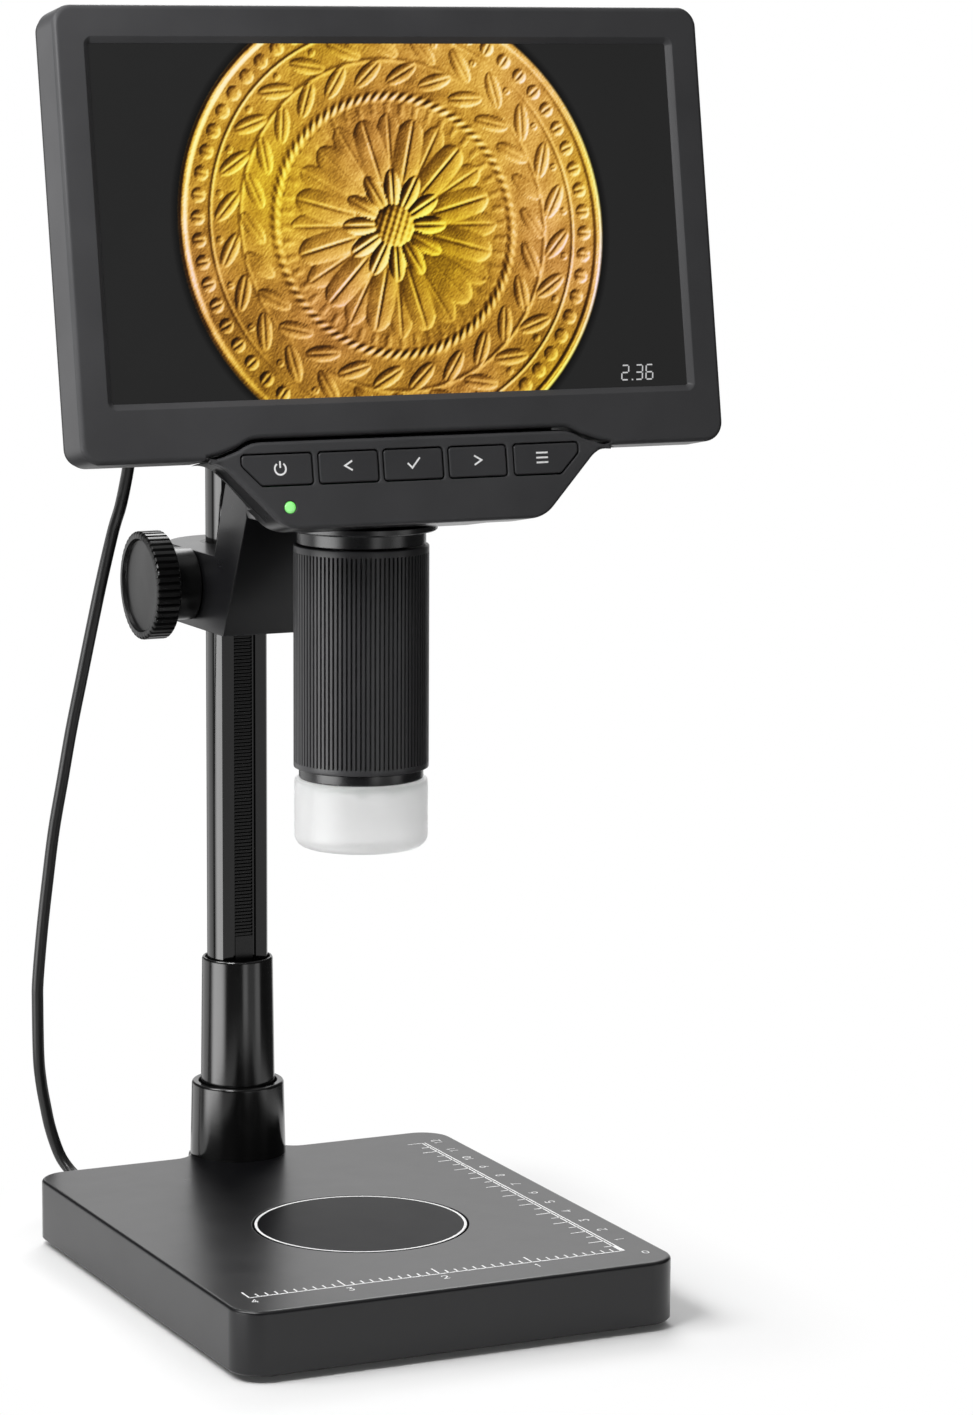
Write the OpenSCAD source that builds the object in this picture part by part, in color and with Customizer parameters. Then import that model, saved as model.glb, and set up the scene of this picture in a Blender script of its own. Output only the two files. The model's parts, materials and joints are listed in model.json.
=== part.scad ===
// LCD digital microscope: a screen head with a focus barrel, carried on a rack-and-pinion
// column over a weighing base. Millimetres, +Z up, the screen faces -Y, origin on the bench.

/* [Base] */
// Width of the base, left to right
base_w = 119.2; // [110:0.2:130]
// Depth of the base, front to back
base_d = 145.6; // [140:0.2:160]
// Height of the base top above the bench
base_top = 18; // [17:0.5:22]
// Radius of the base's corners
base_corner = 8.5; // [4:0.5:12]
// Height of the rubber feet below the bottom plate
foot_h = 1.8; // [1.4:0.1:3]
// Radius of the round weighing pan
pan_r = 27.5; // [24:0.5:30]

/* [Column] */
// Distance from the optical axis back to the column's axis
column_reach = 82.5; // [78:0.5:90]
// Diameter of the column rod
column_dia = 16.4; // [15.6:0.1:16.6]
// Height of the rod's top above the bench
column_top = 250; // [248:1:262]
// Number of teeth on the rack
rack_teeth = 175; // [172:1:176]
// Top of the lower collar
lower_collar_top = 38; // [32:1:40]
// Top of the upper collar
upper_collar_top = 72.4; // [64:0.2:72.6]

/* [Focus drive] */
// Tooth size of the rack and its pinion
gear_module = 0.3; // [0.3:0.05:0.3]
// Number of teeth on the pinion
pinion_teeth = 50; // [50:1:50]
// Diameter of the drive knobs
knob_dia = 28.5; // [24:0.5:30]
// Thickness of a knob's rim
knob_t = 7; // [6:0.5:8]
// Ribs around a knob
knob_ribs = 46; // [24:1:48]

/* [Barrel] */
// Outer radius of the focus ring
ring_r = 17.1; // [16.6:0.1:18]
// Ribs around the focus ring
ring_ribs = 58; // [40:1:64]
// Bottom edge of the light shade above the bench
shade_bottom = 116.9; // [112:0.1:118]
// Outer radius of the light shade
shade_r = 16.9; // [16:0.1:17.5]

/* [Display] */
// Width of the display's bezel
display_w = 172; // [170:1:180]
// Height of the screen's centre above the bench
screen_z = 275.9; // [275:0.1:277]
// Lean of the screen back from upright, in degrees
screen_tilt = 9.7; // [9:0.1:11]
// Visible width of the screen
screen_w = 154.2; // [150:0.1:156]
// Visible height of the screen
screen_h = 85.9; // [84:0.1:88]
// Depth of the bezel's side walls
bezel_depth = 12; // [11:0.5:13]
// Width of the chamfer round the bezel's front
bezel_chamfer = 1.2; // [0.6:0.2:1.6]

/* [Buttons] */
// Upper edge of the row of buttons, below the screen's centre
button_high = -56.3; // [-56.5:0.1:-56]
// Lower edge of the row of buttons, below the screen's centre
button_low = -63.75; // [-64.5:0.05:-63]

/* [Hidden] */

$fn = 64;
eps = 0.01;
fit = 0.05;

// Places of the main axes, all on x = 0
optic_y = -18;
face_y = optic_y - 22.1;
column_y = optic_y + column_reach;
base_front = -82;
base_back = base_front + base_d;
base_under = foot_h;

// Base
wall = 2.5;
edge = 0.8;
plate_t = 2;
lobe_r = 13.5;
lobe_fillet = 6;
foot_r = 6;
foot_inset = 11;
foot_seat = 0.6;
screw_inset = 22;
screw_sink = 1.2;
screw_front = base_front + 10;
screw_back = base_back - 24;
pan_gap = 0.4;
pan_t = 1.6;
cell_len = 46;
cell_w = 9;
cell_h = 6;
cell_low = base_under + plate_t + 2;
cell_screw_x = [28, 34];
pan_screw_x = [-5, 5];
carrier_t = 1.2;
board_z = 6.2;
board_t = 1.2;

// Column
column_r = column_dia / 2;
column_foot = 5;
flat_y = 5.2;
slot_w = 5.2;
slot_y = 2.4;
channel_w = 6.6;
channel_y = 4.5;

// Rack and pinion
pitch = PI * gear_module;
tip_depth = 4.7;
pitch_line = tip_depth - gear_module;
root_line = pitch_line - 1.25 * gear_module;
rack_w = 5;
rack_block = 8;
rack_start = 78.8;
slot_start = rack_start - rack_block - 0.2;
pinion_pitch_r = gear_module * pinion_teeth / 2;
pinion_y = column_y - pitch_line - pinion_pitch_r;
pinion_z = 176.5;
pinion_w = 4.6;
shaft_r = 3;
shaft_end = 29;
hub_r = 9.6;
hub_gap = 0.3;
hub_len = 7.5;
grub_x = 22;
grub_r = 1.5;
knob_rib_w = 1.2;
ring_rib_w = 1.1;
rib_h = 1.2;
rack_first = pinion_z - pitch * floor((pinion_z - rack_start) / pitch);

// Carriage and arm
arm_w = 36;
block_low = 165.1;
block_top = 185.4;
arm_top = 222;
neck_front = 13.8;
neck_back = 26.4;
sleeve_r = 9.6;
cavity_r = 8.05;
screw_bore = 2;

// Barrel
tube_r = 12.9;
ring_low = 137.2;
ring_high = 193.7;
ring_band = 1.2;
rib_len = 53.8;

// Head
head_low = 199;
cover_low = 226.2;
cover_t = 1.8;
panel_t = 2.5;
skirt_depth = 9;
skirt_low_depth = 12;
seam = 0.9;
seam_behind = 0.4;
notch_v = -52.3;
ear_u = 55;
ear_v = -57.3;
panel_low = -74.6;
lamp_at = [-33.6, -69.2];
lamp_r = 1.3;
hinge_w = 12;
hinge_v = -53;
hinge_r = 3.2;
pin_r = 1.5;
ear_spans = [[-42, -34], [-6, 6], [34, 42]];
knuckle_spans = [[-33.7, -22], [22, 33.7]];

// Display
bezel_high = 52.15;
bezel_low = -57.3;
bezel_r = 5;
back_w = 17;
back_v = 1.5;
screen_lip = 1.3;
vent_count = 21;
vent_pitch = 5.2;

// Buttons: left and right edge of each, across the panel
power_u = [-45.45, -27.2];
left_u = [-25.36, -9.76];
ok_u = [-8.16, 7.54];
right_u = [9.29, 24.77];
menu_u = [26.98, 44.65];
button_slant = 5;
button_gap = 0.35;

// Cable: the points of its route, from the plug on the head to the plug on the base
cable_r = 1.6;
cable_sides = 8;
head_exit = [-38, 26, 217];
base_exit = [-38, base_back, 9];
plug_len = 12;
CABLE_ROUTE = [
  [-38, 38, 217], [-38, 42.5, 214.5], [-38, 46.5, 206], [-38, 51, 198], [-37.5, 58, 190.5],
  [-38.5, 64, 177], [-40, 68, 163.5], [-41.5, 72, 149.5], [-43, 76, 135.5], [-44.5, 79, 121.5],
  [-46, 82, 107.5], [-47, 84.5, 93.5], [-48, 86.5, 79.5], [-49, 87.5, 65.5], [-49, 88, 58.5],
  [-48.5, 89, 44], [-47.5, 90, 36.5], [-46, 91, 29.5], [-44.5, 91, 22.5], [-42.5, 89.5, 15.5],
  [-40.5, 86.5, 11.5], [-39, 81.5, 9.5], base_exit + [0, plug_len, 0]
];

// ---------- helpers ----------

// A rectangle with round corners, centred
module soft_rect(w, h, r) {
  square([w - 2 * r, h], center = true);
  square([w, h - 2 * r], center = true);
  for (sx = [-1, 1]) for (sy = [-1, 1])
    translate([sx * (w / 2 - r), sy * (h / 2 - r)]) circle(r);
}

// A flat outline in the screen's plane, made solid from depth w0 to depth w1 behind it
module slab(w0, w1) {
  translate([0, w1, 0]) rotate([90, 0, 0]) linear_extrude(w1 - w0) children();
}

// A side view (Y, Z) made solid from x0 to x1
module across(x0, x1) {
  translate([x0, 0, 0]) rotate([90, 0, 90]) linear_extrude(x1 - x0) children();
}

// Moves parts from the screen's own frame (u right, w back, v up) to their place
module on_display() {
  translate([0, face_y, screen_z]) rotate([-screen_tilt, 0, 0]) children();
}

// A cylinder along X
module rod_x(x0, x1, r) {
  translate([x0, 0, 0]) rotate([0, 90, 0]) cylinder(h = x1 - x0, r = r);
}

// A cylinder from depth w0 to depth w1 behind the screen
module rod_back(w0, w1, r) {
  translate([0, w0, 0]) rotate([-90, 0, 0]) cylinder(h = w1 - w0, r = r);
}

// Points along an arc, for outlines
function arc(c, r, a0, a1, n) =
  [for (i = [0 : n]) c + r * [cos(a0 + (a1 - a0) * i / n), sin(a0 + (a1 - a0) * i / n)]];
function mirrored(points) = [for (i = [len(points) - 1 : -1 : 0]) [-points[i][0], points[i][1]]];

// Ribs in a ring, their tips at radius r
module ribs(count, r, width) {
  for (i = [0 : count - 1]) rotate(i * 360 / count)
    translate([r - rib_h, -width / 2]) square([rib_h, width]);
}

// Pan-head screw, its head's underside at z = 0 and its shank going up
module screw(head_r, head_h, shank_r, shank_l) {
  difference() {
    translate([0, 0, -head_h]) cylinder(h = head_h, r = head_r);
    translate([0, 0, -head_h - eps]) cylinder(h = head_h * 0.6, r = head_r * 0.45, $fn = 6);
  }
  translate([0, 0, -eps]) cylinder(h = shank_l + eps, r = shank_r);
}

// ---------- base ----------

module base_outline(inset = 0) {
  mid = (base_front + base_back) / 2;
  translate([0, mid])
    soft_rect(base_w - 2 * inset, base_d - 2 * inset, base_corner - inset);
  translate([0, column_y]) circle(lobe_r - inset);
  lobe_neck(inset);
}

// The hollow curves that lead from the back edge into the round lobe behind the column
module lobe_neck(inset) {
  rf = lobe_fillet + inset;
  back = base_back - inset;
  rise = back + rf - column_y;
  xf = sqrt(pow(lobe_r - inset + rf, 2) - rise * rise);
  difference() {
    translate([-xf, back - 1]) square([2 * xf, rise * 0.7 + 1]);
    for (s = [-1, 1]) translate([s * xf, back + rf]) circle(rf);
  }
}

module at_corners(inset, y_front, y_back) {
  for (sx = [-1, 1]) for (y = [y_front, y_back])
    translate([sx * (base_w / 2 - inset), y, 0]) children();
}

module base_housing() {
  color([0.13, 0.13, 0.14]) difference() {
    union() {
      translate([0, 0, base_under]) linear_extrude(base_top - edge - base_under) base_outline();
      translate([0, 0, base_top - edge - eps]) linear_extrude(edge / 2 + eps) base_outline(edge * 0.3);
      translate([0, 0, base_top - edge / 2 - eps]) linear_extrude(edge / 2 + eps) base_outline(edge);
    }
    difference() {
      translate([0, 0, base_under - eps]) linear_extrude(base_top - wall - base_under + eps)
        base_outline(wall);
      at_corners(screw_inset, screw_front, screw_back)
        translate([0, 0, base_under + plate_t]) cylinder(h = base_top, r = 4);
      translate([0, column_y, base_under + plate_t]) cylinder(h = base_top, r = 12);
      translate([0, optic_y, base_top - 4.6]) cylinder(h = 4.6, r = pan_r + 2.4);
    }
    translate([0, optic_y, base_top - 6]) cylinder(h = 7, r = pan_r + pan_gap);
    at_corners(screw_inset, screw_front, screw_back)
      translate([0, 0, base_under]) cylinder(h = 10, r = 1.4);
    translate([0, column_y, column_foot]) cylinder(h = base_top, r = column_r + fit);
    translate([0, column_y, base_under - eps]) cylinder(h = base_top, r = 3.2);
    translate([base_exit[0] - 5.5, base_back - wall - 1, base_exit[2] - 3.5])
      cube([11, wall + 2, 7]);
  }
}

module base_bottom_plate() {
  color([0.16, 0.16, 0.17]) difference() {
    translate([0, 0, base_under]) linear_extrude(plate_t) base_outline(wall + 0.2);
    at_corners(foot_inset, base_front + foot_inset, base_back - foot_inset)
      translate([0, 0, base_under - eps]) cylinder(h = foot_seat, r = foot_r + 0.1);
    at_corners(screw_inset, screw_front, screw_back) {
      translate([0, 0, base_under - eps]) cylinder(h = screw_sink, r = 2.9);
      translate([0, 0, base_under - eps]) cylinder(h = 3, r = 1.7);
    }
    translate([0, column_y, base_under - eps]) cylinder(h = 3, r = 3.2);
    translate([0, column_y, base_under - eps]) cylinder(h = screw_sink, r = 6.2);
  }
}

module base_plate_screws() {
  color([0.6, 0.6, 0.62]) at_corners(screw_inset, screw_front, screw_back)
    translate([0, 0, base_under + screw_sink - eps]) screw(2.7, 1, 1.3, 7);
}

module rubber_feet() {
  color([0.05, 0.05, 0.05])
    at_corners(foot_inset, base_front + foot_inset, base_back - foot_inset)
      rotate_extrude() polygon([[0, 0], [foot_r - 0.7, 0], [foot_r, 0.7],
        [foot_r, foot_h + foot_seat - eps], [0, foot_h + foot_seat - eps]]);
}

module weighing_pan() {
  color([0.1, 0.1, 0.11]) translate([0, optic_y, 0]) rotate_extrude()
    polygon([[0, base_top - pan_t], [pan_r - 0.2, base_top - pan_t],
      [pan_r, base_top - pan_t + 0.2], [pan_r, base_top - 0.3], [pan_r - 0.3, base_top],
      [0, base_top]]);
}

module pan_carrier() {
  color([0.5, 0.5, 0.52]) difference() {
    union() {
      translate([0, optic_y, base_top - pan_t - carrier_t]) cylinder(h = carrier_t, r = 24);
      translate([-8, optic_y - 5, cell_low + cell_h])
        cube([16, 10, base_top - pan_t - carrier_t - cell_low - cell_h + eps]);
    }
    for (x = pan_screw_x) translate([x, optic_y, 5]) cylinder(h = 20, r = 1.2);
  }
}

module load_cell() {
  color([0.75, 0.75, 0.77]) difference() {
    translate([-8, optic_y - cell_w / 2, cell_low]) cube([cell_len, cell_w, cell_h]);
    for (x = [10, 17]) translate([x, optic_y - 10, cell_low + cell_h / 2]) rotate([-90, 0, 0])
      cylinder(h = 20, r = 2);
    translate([10, optic_y - 10, cell_low + cell_h / 2 - 0.6]) cube([7, 20, 1.2]);
    for (x = concat(pan_screw_x, cell_screw_x))
      translate([x, optic_y, cell_low - 1]) cylinder(h = 10, r = 1.2);
  }
}

module load_cell_screws() {
  color([0.65, 0.65, 0.67]) {
    translate([24, optic_y - 5, base_under + plate_t]) cube([14, 10, 2]);
    for (x = cell_screw_x) translate([x, optic_y, cell_low + cell_h]) rotate([180, 0, 0])
      screw(2.2, 1.2, 1.15, cell_h);
  }
}

module scale_board() {
  color([0.1, 0.35, 0.2]) translate([-31, base_back - 45, board_z]) cube([20, 30, board_t]);
  color([0.1, 0.1, 0.1]) translate([-25, base_back - 34, board_z + board_t - eps])
    cube([8, 8, 1.2]);
  // posts that stand on the bottom plate
  color([0.7, 0.7, 0.72]) for (x = [-28, -14]) for (y = [-42, -18])
    translate([x, base_back + y, base_under + plate_t])
      cylinder(h = board_z - base_under - plate_t + eps, r = 1.6);
}

// A flat rectangular cable socket that faces +Y, its mouth at the origin
module socket_shell() {
  difference() {
    translate([-4.6, -9, -2]) cube([9.2, 9, 4]);
    translate([-4, -7, -1.4]) cube([8, 7 + 1, 2.8]);
  }
  translate([-2.6, -7 - eps, -0.4]) cube([5.2, 6, 0.8]);
}

module base_socket() {
  color([0.7, 0.7, 0.72]) translate(base_exit) socket_shell();
}

// ---------- column ----------

module lower_collar() {
  color([0.15, 0.15, 0.16]) translate([0, column_y, 0]) rotate_extrude()
    polygon([[10.15, base_top], [13, base_top], [12.5, lower_collar_top - 0.4],
      [12.1, lower_collar_top], [10.7, lower_collar_top], [10.7, lower_collar_top - 1.4],
      [10.15, lower_collar_top - 1.4]]);
}

module upper_collar() {
  color([0.15, 0.15, 0.16]) translate([0, column_y, 0]) rotate_extrude()
    polygon([[column_r + fit, base_top], [10.1, base_top], [10.05, lower_collar_top],
      [9.6, upper_collar_top - 0.3], [9.3, upper_collar_top], [8.8, upper_collar_top],
      [8.8, upper_collar_top - 1], [column_r + fit, upper_collar_top - 1]]);
}

module column_rod() {
  color([0.08, 0.08, 0.09]) translate([0, column_y, 0]) difference() {
    translate([0, 0, column_foot]) cylinder(h = column_top - column_foot, r = column_r);
    translate([-10, -10 - flat_y, upper_collar_top - 3]) cube([20, 10, column_top]);
    translate([-slot_w / 2, -10, slot_start])
      cube([slot_w, 10 - slot_y, column_top]);
    translate([-channel_w / 2, -10, slot_start])
      cube([channel_w, 10 - channel_y, column_top]);
    translate([0, 0, 4]) cylinder(h = 16, r = 2.6);
  }
}

// Side view of the rack: its back, its plain end block and one trapezoid for each tooth
function rack_tooth(z) = [
  [-root_line, z - 0.33], [-tip_depth, z - 0.1], [-tip_depth, z + 0.1], [-root_line, z + 0.33]];
function rack_side() = concat(
  [[-slot_y, rack_start - rack_block], [-tip_depth, rack_start - rack_block],
   [-tip_depth, rack_first - 0.8], [-root_line, rack_first - 0.8]],
  [for (i = [0 : rack_teeth - 1]) each rack_tooth(rack_first + i * pitch)],
  [[-root_line, rack_first + rack_teeth * pitch], [-slot_y, rack_first + rack_teeth * pitch]]);

module gear_rack() {
  color([0.12, 0.12, 0.12]) translate([0, column_y, 0])
    across(-rack_w / 2, rack_w / 2) polygon(rack_side());
}

module column_cap() {
  color([0.06, 0.06, 0.06]) translate([0, column_y, column_top]) rotate_extrude()
    polygon(concat([[0, 0], [column_r, 0], [column_r, 1.6]], arc([column_r - 2, 1.6], 2, 0, 90, 6),
      [[0, 3.6]]));
}

module column_bolt() {
  color([0.6, 0.6, 0.62]) translate([0, column_y, base_under + screw_sink - eps])
    screw(5.5, 1.1, 2.5, 15);
}

// ---------- carriage ----------

// Side view of the arm: block, slanted front and the neck that runs up into the head
module arm_side() {
  polygon([[29.7, block_low], [column_y, block_low], [column_y, block_top], [35.7, block_top],
    [27.7, 205.2], [neck_back, 208.5], [neck_back, arm_top], [neck_front, arm_top],
    [neck_front, head_low - 1.5]]);
}

module carriage_arm() {
  color([0.14, 0.14, 0.15]) difference() {
    union() {
      across(-arm_w / 2, arm_w / 2) arm_side();
      translate([0, column_y, block_low]) cylinder(h = block_top - block_low, r = arm_w / 2);
    }
    // bore for the guide sleeve
    translate([0, column_y, block_low - 1]) cylinder(h = 30, r = sleeve_r);
    // chamber for the pinion and the seats of its bushes
    translate([0, pinion_y, pinion_z]) rod_x(-arm_w / 2 - 1, 4, cavity_r);
    translate([0, pinion_y, pinion_z]) rod_x(0, arm_w / 2 + 1, 5);
    // seats of the tension screw and its pad
    translate([0, column_y + 5, pinion_z]) rotate([-90, 0, 0]) cylinder(h = 20, r = screw_bore);
    // channel for the wires, up through the neck
    translate([-9, 16.3, 204]) cube([18, 7, 30]);
    // seats of the two screws that hold the head housing
    for (s = [-1, 1]) translate([s * 13.5, 22.5, 206]) cylinder(h = 20, r = 1.3);
  }
}

module guide_sleeve() {
  color([0.1, 0.1, 0.1]) difference() {
    translate([0, column_y, block_low]) cylinder(h = block_top - block_low, r = sleeve_r);
    translate([0, column_y, block_low - 1]) cylinder(h = 30, r = column_r + fit);
    translate([-6.8, column_y - 12, pinion_z - cavity_r]) cube([13.6, 8, 2 * cavity_r]);
    translate([0, column_y + 5, pinion_z]) rotate([-90, 0, 0]) cylinder(h = 20, r = screw_bore);
  }
}

module friction_pad() {
  color([0.8, 0.7, 0.4]) difference() {
    translate([0, column_y + 6, pinion_z]) rotate([-90, 0, 0]) cylinder(h = 5, r = screw_bore - 0.1);
    translate([0, column_y, block_low]) cylinder(h = 30, r = column_r + fit);
  }
}

module tension_screw() {
  color([0.3, 0.3, 0.32]) translate([0, column_y + 11, pinion_z]) rotate([-90, 0, 0])
    difference() {
      cylinder(h = 6, r = screw_bore - fit);
      translate([0, 0, 4]) cylinder(h = 3, r = 1, $fn = 6);
    }
}

module pinion_bushes() {
  color([0.8, 0.7, 0.4]) translate([0, pinion_y, pinion_z]) {
    difference() {
      rod_x(-arm_w / 2, -4, cavity_r - 0.02);
      rod_x(-arm_w / 2 - 1, 0, shaft_r + fit);
      // the left bush is cut back where the guide sleeve passes
      translate([0, column_y - pinion_y, -10]) cylinder(h = 30, r = sleeve_r + 0.05);
    }
    difference() {
      rod_x(6, arm_w / 2, 4.98);
      rod_x(0, arm_w / 2 + 1, shaft_r + fit);
    }
  }
}

// One tooth of the pinion about the angle a, as points at the root, pitch and tip radius
function tooth_point(r, half, a) = [r * cos(a + half / r * 180 / PI), r * sin(a + half / r * 180 / PI)];
function pinion_tooth(a) = [
  tooth_point(pinion_pitch_r - 0.4, -0.3, a), tooth_point(pinion_pitch_r, -0.165, a),
  tooth_point(pinion_pitch_r + 0.26, -0.075, a), tooth_point(pinion_pitch_r + 0.26, 0.075, a),
  tooth_point(pinion_pitch_r, 0.165, a), tooth_point(pinion_pitch_r - 0.4, 0.3, a)];

module pinion_shaft() {
  color([0.7, 0.7, 0.72]) translate([0, pinion_y, pinion_z]) {
    rod_x(-shaft_end, shaft_end, shaft_r);
    across(-pinion_w / 2, pinion_w / 2)
      polygon([for (i = [0 : pinion_teeth - 1]) each pinion_tooth((i + 0.5) * 360 / pinion_teeth)]);
    rod_x(-3.8, 5.8, 4.4);
  }
}

// A knob on the +X side: wide hub, ribbed rim and a shallow dished face
module knob() {
  x0 = arm_w / 2 + hub_gap;
  rim = arm_w / 2 + hub_len;
  face = rim + knob_t;
  r = knob_dia / 2;
  difference() {
    union() {
      rotate([0, 90, 0]) rotate_extrude()
        polygon([[0, x0], [hub_r - 0.3, x0], [hub_r, rim - 0.3], [r - 1.6, rim], [r - 0.7, rim + 0.8],
          [r - 0.7, face - 0.8], [r - 1.1, face], [r - 2, face], [r - 2.4, face - 1],
          [5, face - 1.4], [0, face - 1.4]]);
      across(rim + 0.9, face - 0.9) ribs(knob_ribs, r, knob_rib_w);
    }
    rod_x(0, shaft_end + 0.05, shaft_r);
    translate([grub_x, 0, 0]) rotate([-90, 0, 0]) cylinder(h = 20, r = grub_r);
  }
}

module knob_at() {
  translate([0, pinion_y, pinion_z]) children();
}

module left_knob() {
  color([0.07, 0.07, 0.08]) knob_at() mirror([1, 0, 0]) knob();
}

module right_knob() {
  color([0.07, 0.07, 0.08]) knob_at() knob();
}

// Grub screws that clamp the hubs on the shaft
module knob_screws() {
  color([0.3, 0.3, 0.32]) knob_at() for (s = [-1, 1])
    translate([s * grub_x, shaft_r + 0.02, 0]) rotate([-90, 0, 0]) difference() {
      cylinder(h = 5.5, r = grub_r - 0.02);
      translate([0, 0, 4]) cylinder(h = 2, r = 0.8, $fn = 6);
    }
}

// ---------- head ----------

// The seam's path between display and panel, right half, at a distance d below it
function seam_half(d) = concat(
  [[0, notch_v - d], [40, notch_v - d]],
  arc([40, notch_v - 10 - d], 10, 80, 55, 4),
  [[50, notch_v - 3.3 - d], [54, ear_v + 0.8 - d]]);

function panel_half() = concat(
  [[0, panel_low]], arc([30.6, panel_low + 9], 9, -90, -43.8, 6),
  arc([54.1, -65.7], 8, 136.2, 90, 6), [[ear_u, ear_v - 0.5]]);

module panel_outline(gap = seam) {
  top = seam_half(gap);
  polygon(concat(panel_half(), [for (i = [len(top) - 1 : -1 : 0]) top[i]],
    mirrored(concat(panel_half(), [for (i = [len(top) - 1 : -1 : 1]) top[i]]))));
}

module button_outline(edges, grow = 0, slant = 0) {
  u0 = edges[0] - grow;
  u1 = edges[1] + grow;
  low = button_low - grow;
  high = button_high + grow;
  cut = button_slant;
  intersection() {
    translate([(u0 + u1) / 2, (low + high) / 2]) soft_rect(u1 - u0, high - low, 0.8);
    if (slant < 0)
      polygon([[u0, high + 1], [u0, low + cut], [u0 + cut * 0.94, low - eps], [u1 + 1, low - eps],
        [u1 + 1, high + 1]]);
    else if (slant > 0)
      polygon([[u1, high + 1], [u1, low + cut], [u1 - cut, low - eps], [u0 - 1, low - eps],
        [u0 - 1, high + 1]]);
    else
      translate([u0 - 1, low - 1]) square([u1 - u0 + 2, high - low + 2]);
  }
}

module every_button(grow) {
  button_outline(power_u, grow, -1);
  button_outline(left_u, grow);
  button_outline(ok_u, grow);
  button_outline(right_u, grow);
  button_outline(menu_u, grow, 1);
}

module control_panel() {
  color([0.24, 0.24, 0.25]) on_display() difference() {
    slab(0, panel_t) panel_outline();
    slab(-1, panel_t + 1) every_button(button_gap);
    translate([lamp_at[0], 0, lamp_at[1]]) rod_back(-1, 4, lamp_r + fit);
  }
}

module button(edges, slant = 0) {
  mid = [(edges[0] + edges[1]) / 2, (button_low + button_high) / 2];
  color([0.22, 0.22, 0.23]) on_display() {
    slab(0.1, panel_t + 0.1) button_outline(edges, 0, slant);
    slab(panel_t + 0.1 - eps, panel_t + 0.8) {
      button_outline(edges, -0.2, slant);
      translate(mid) square([edges[1] - edges[0] - 11, button_high - button_low + 1.6], center = true);
    }
    translate([mid[0], 0, mid[1]]) rod_back(panel_t + 0.8 - eps, panel_t + 1.3 - eps, 1.5);
  }
}

module power_button() { button(power_u, -1); }
module left_button() { button(left_u); }
module ok_button() { button(ok_u); }
module right_button() { button(right_u); }
module menu_button() { button(menu_u, 1); }

module button_board() {
  color([0.1, 0.35, 0.2]) on_display() {
    difference() {
      slab(6.6, 7.8) translate([0, -61.4]) square([80, 9], center = true);
      slab(6, 9) translate([-3.5, -67]) square([7, 3]);
    }
    for (e = [power_u, left_u, ok_u, right_u, menu_u])
      translate([(e[0] + e[1]) / 2, 0, (button_low + button_high) / 2]) rod_back(4.7, 6.7, 1.7);
  }
}

module status_light() {
  color([0.3, 0.9, 0.3]) on_display() translate([lamp_at[0], 0, lamp_at[1]])
    rod_back(0, 4.5, lamp_r);
}

// Plan of the head: wide behind the panel, drawn in by a hollow curve to walls that taper
// back to the arm's width
module head_plan() {
  half = concat([[60, -58], [60, -43.2], [47, -41.9]], arc([43.6, -33.4], 8, 268, 198, 6),
    [[arm_w / 2, neck_front], [arm_w / 2, neck_back]]);
  polygon(concat(half, mirrored(half)));
}

// Side view of the head's shell, open in front where the skirt meets it
module head_side() {
  polygon([[-44.2, head_low + 2], [-38, head_low + 1], [-33, head_low], [neck_front, head_low],
    [neck_back, head_low], [neck_back, arm_top], [-20, arm_top], [-31, 216], [-36, 215.4], [-43, 216]]);
}

module wide_side() {
  polygon([[-27, 217], [-12, 215], [26, 213], [26, 228], [-13, 228], [-27, 219.5]]);
}

// Outline of the chamber behind the panel, a wall's thickness inside the panel's own
function chamber_outline() = let (half = [
    [0, -71.4], [35.5, -71.4], [41.5, -65], [46.2, -59.6], [46.2, -57], [42, -54.8], [0, -54.8]])
  concat(half, mirrored(half));

module cover_screw_places() {
  for (s = [-1, 1]) for (y = [-9, 20]) translate([s * 38.6, y, 0]) children();
}

// The head seen from the front: it narrows downwards like the panel
module head_front() {
  half = [[0, 190], [22, 190], [22, head_low], [36.8, 203.3], [46.4, 213.1], [51, 217],
    [51, 230], [0, 230]];
  polygon(concat(half, mirrored(half)));
}

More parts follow.
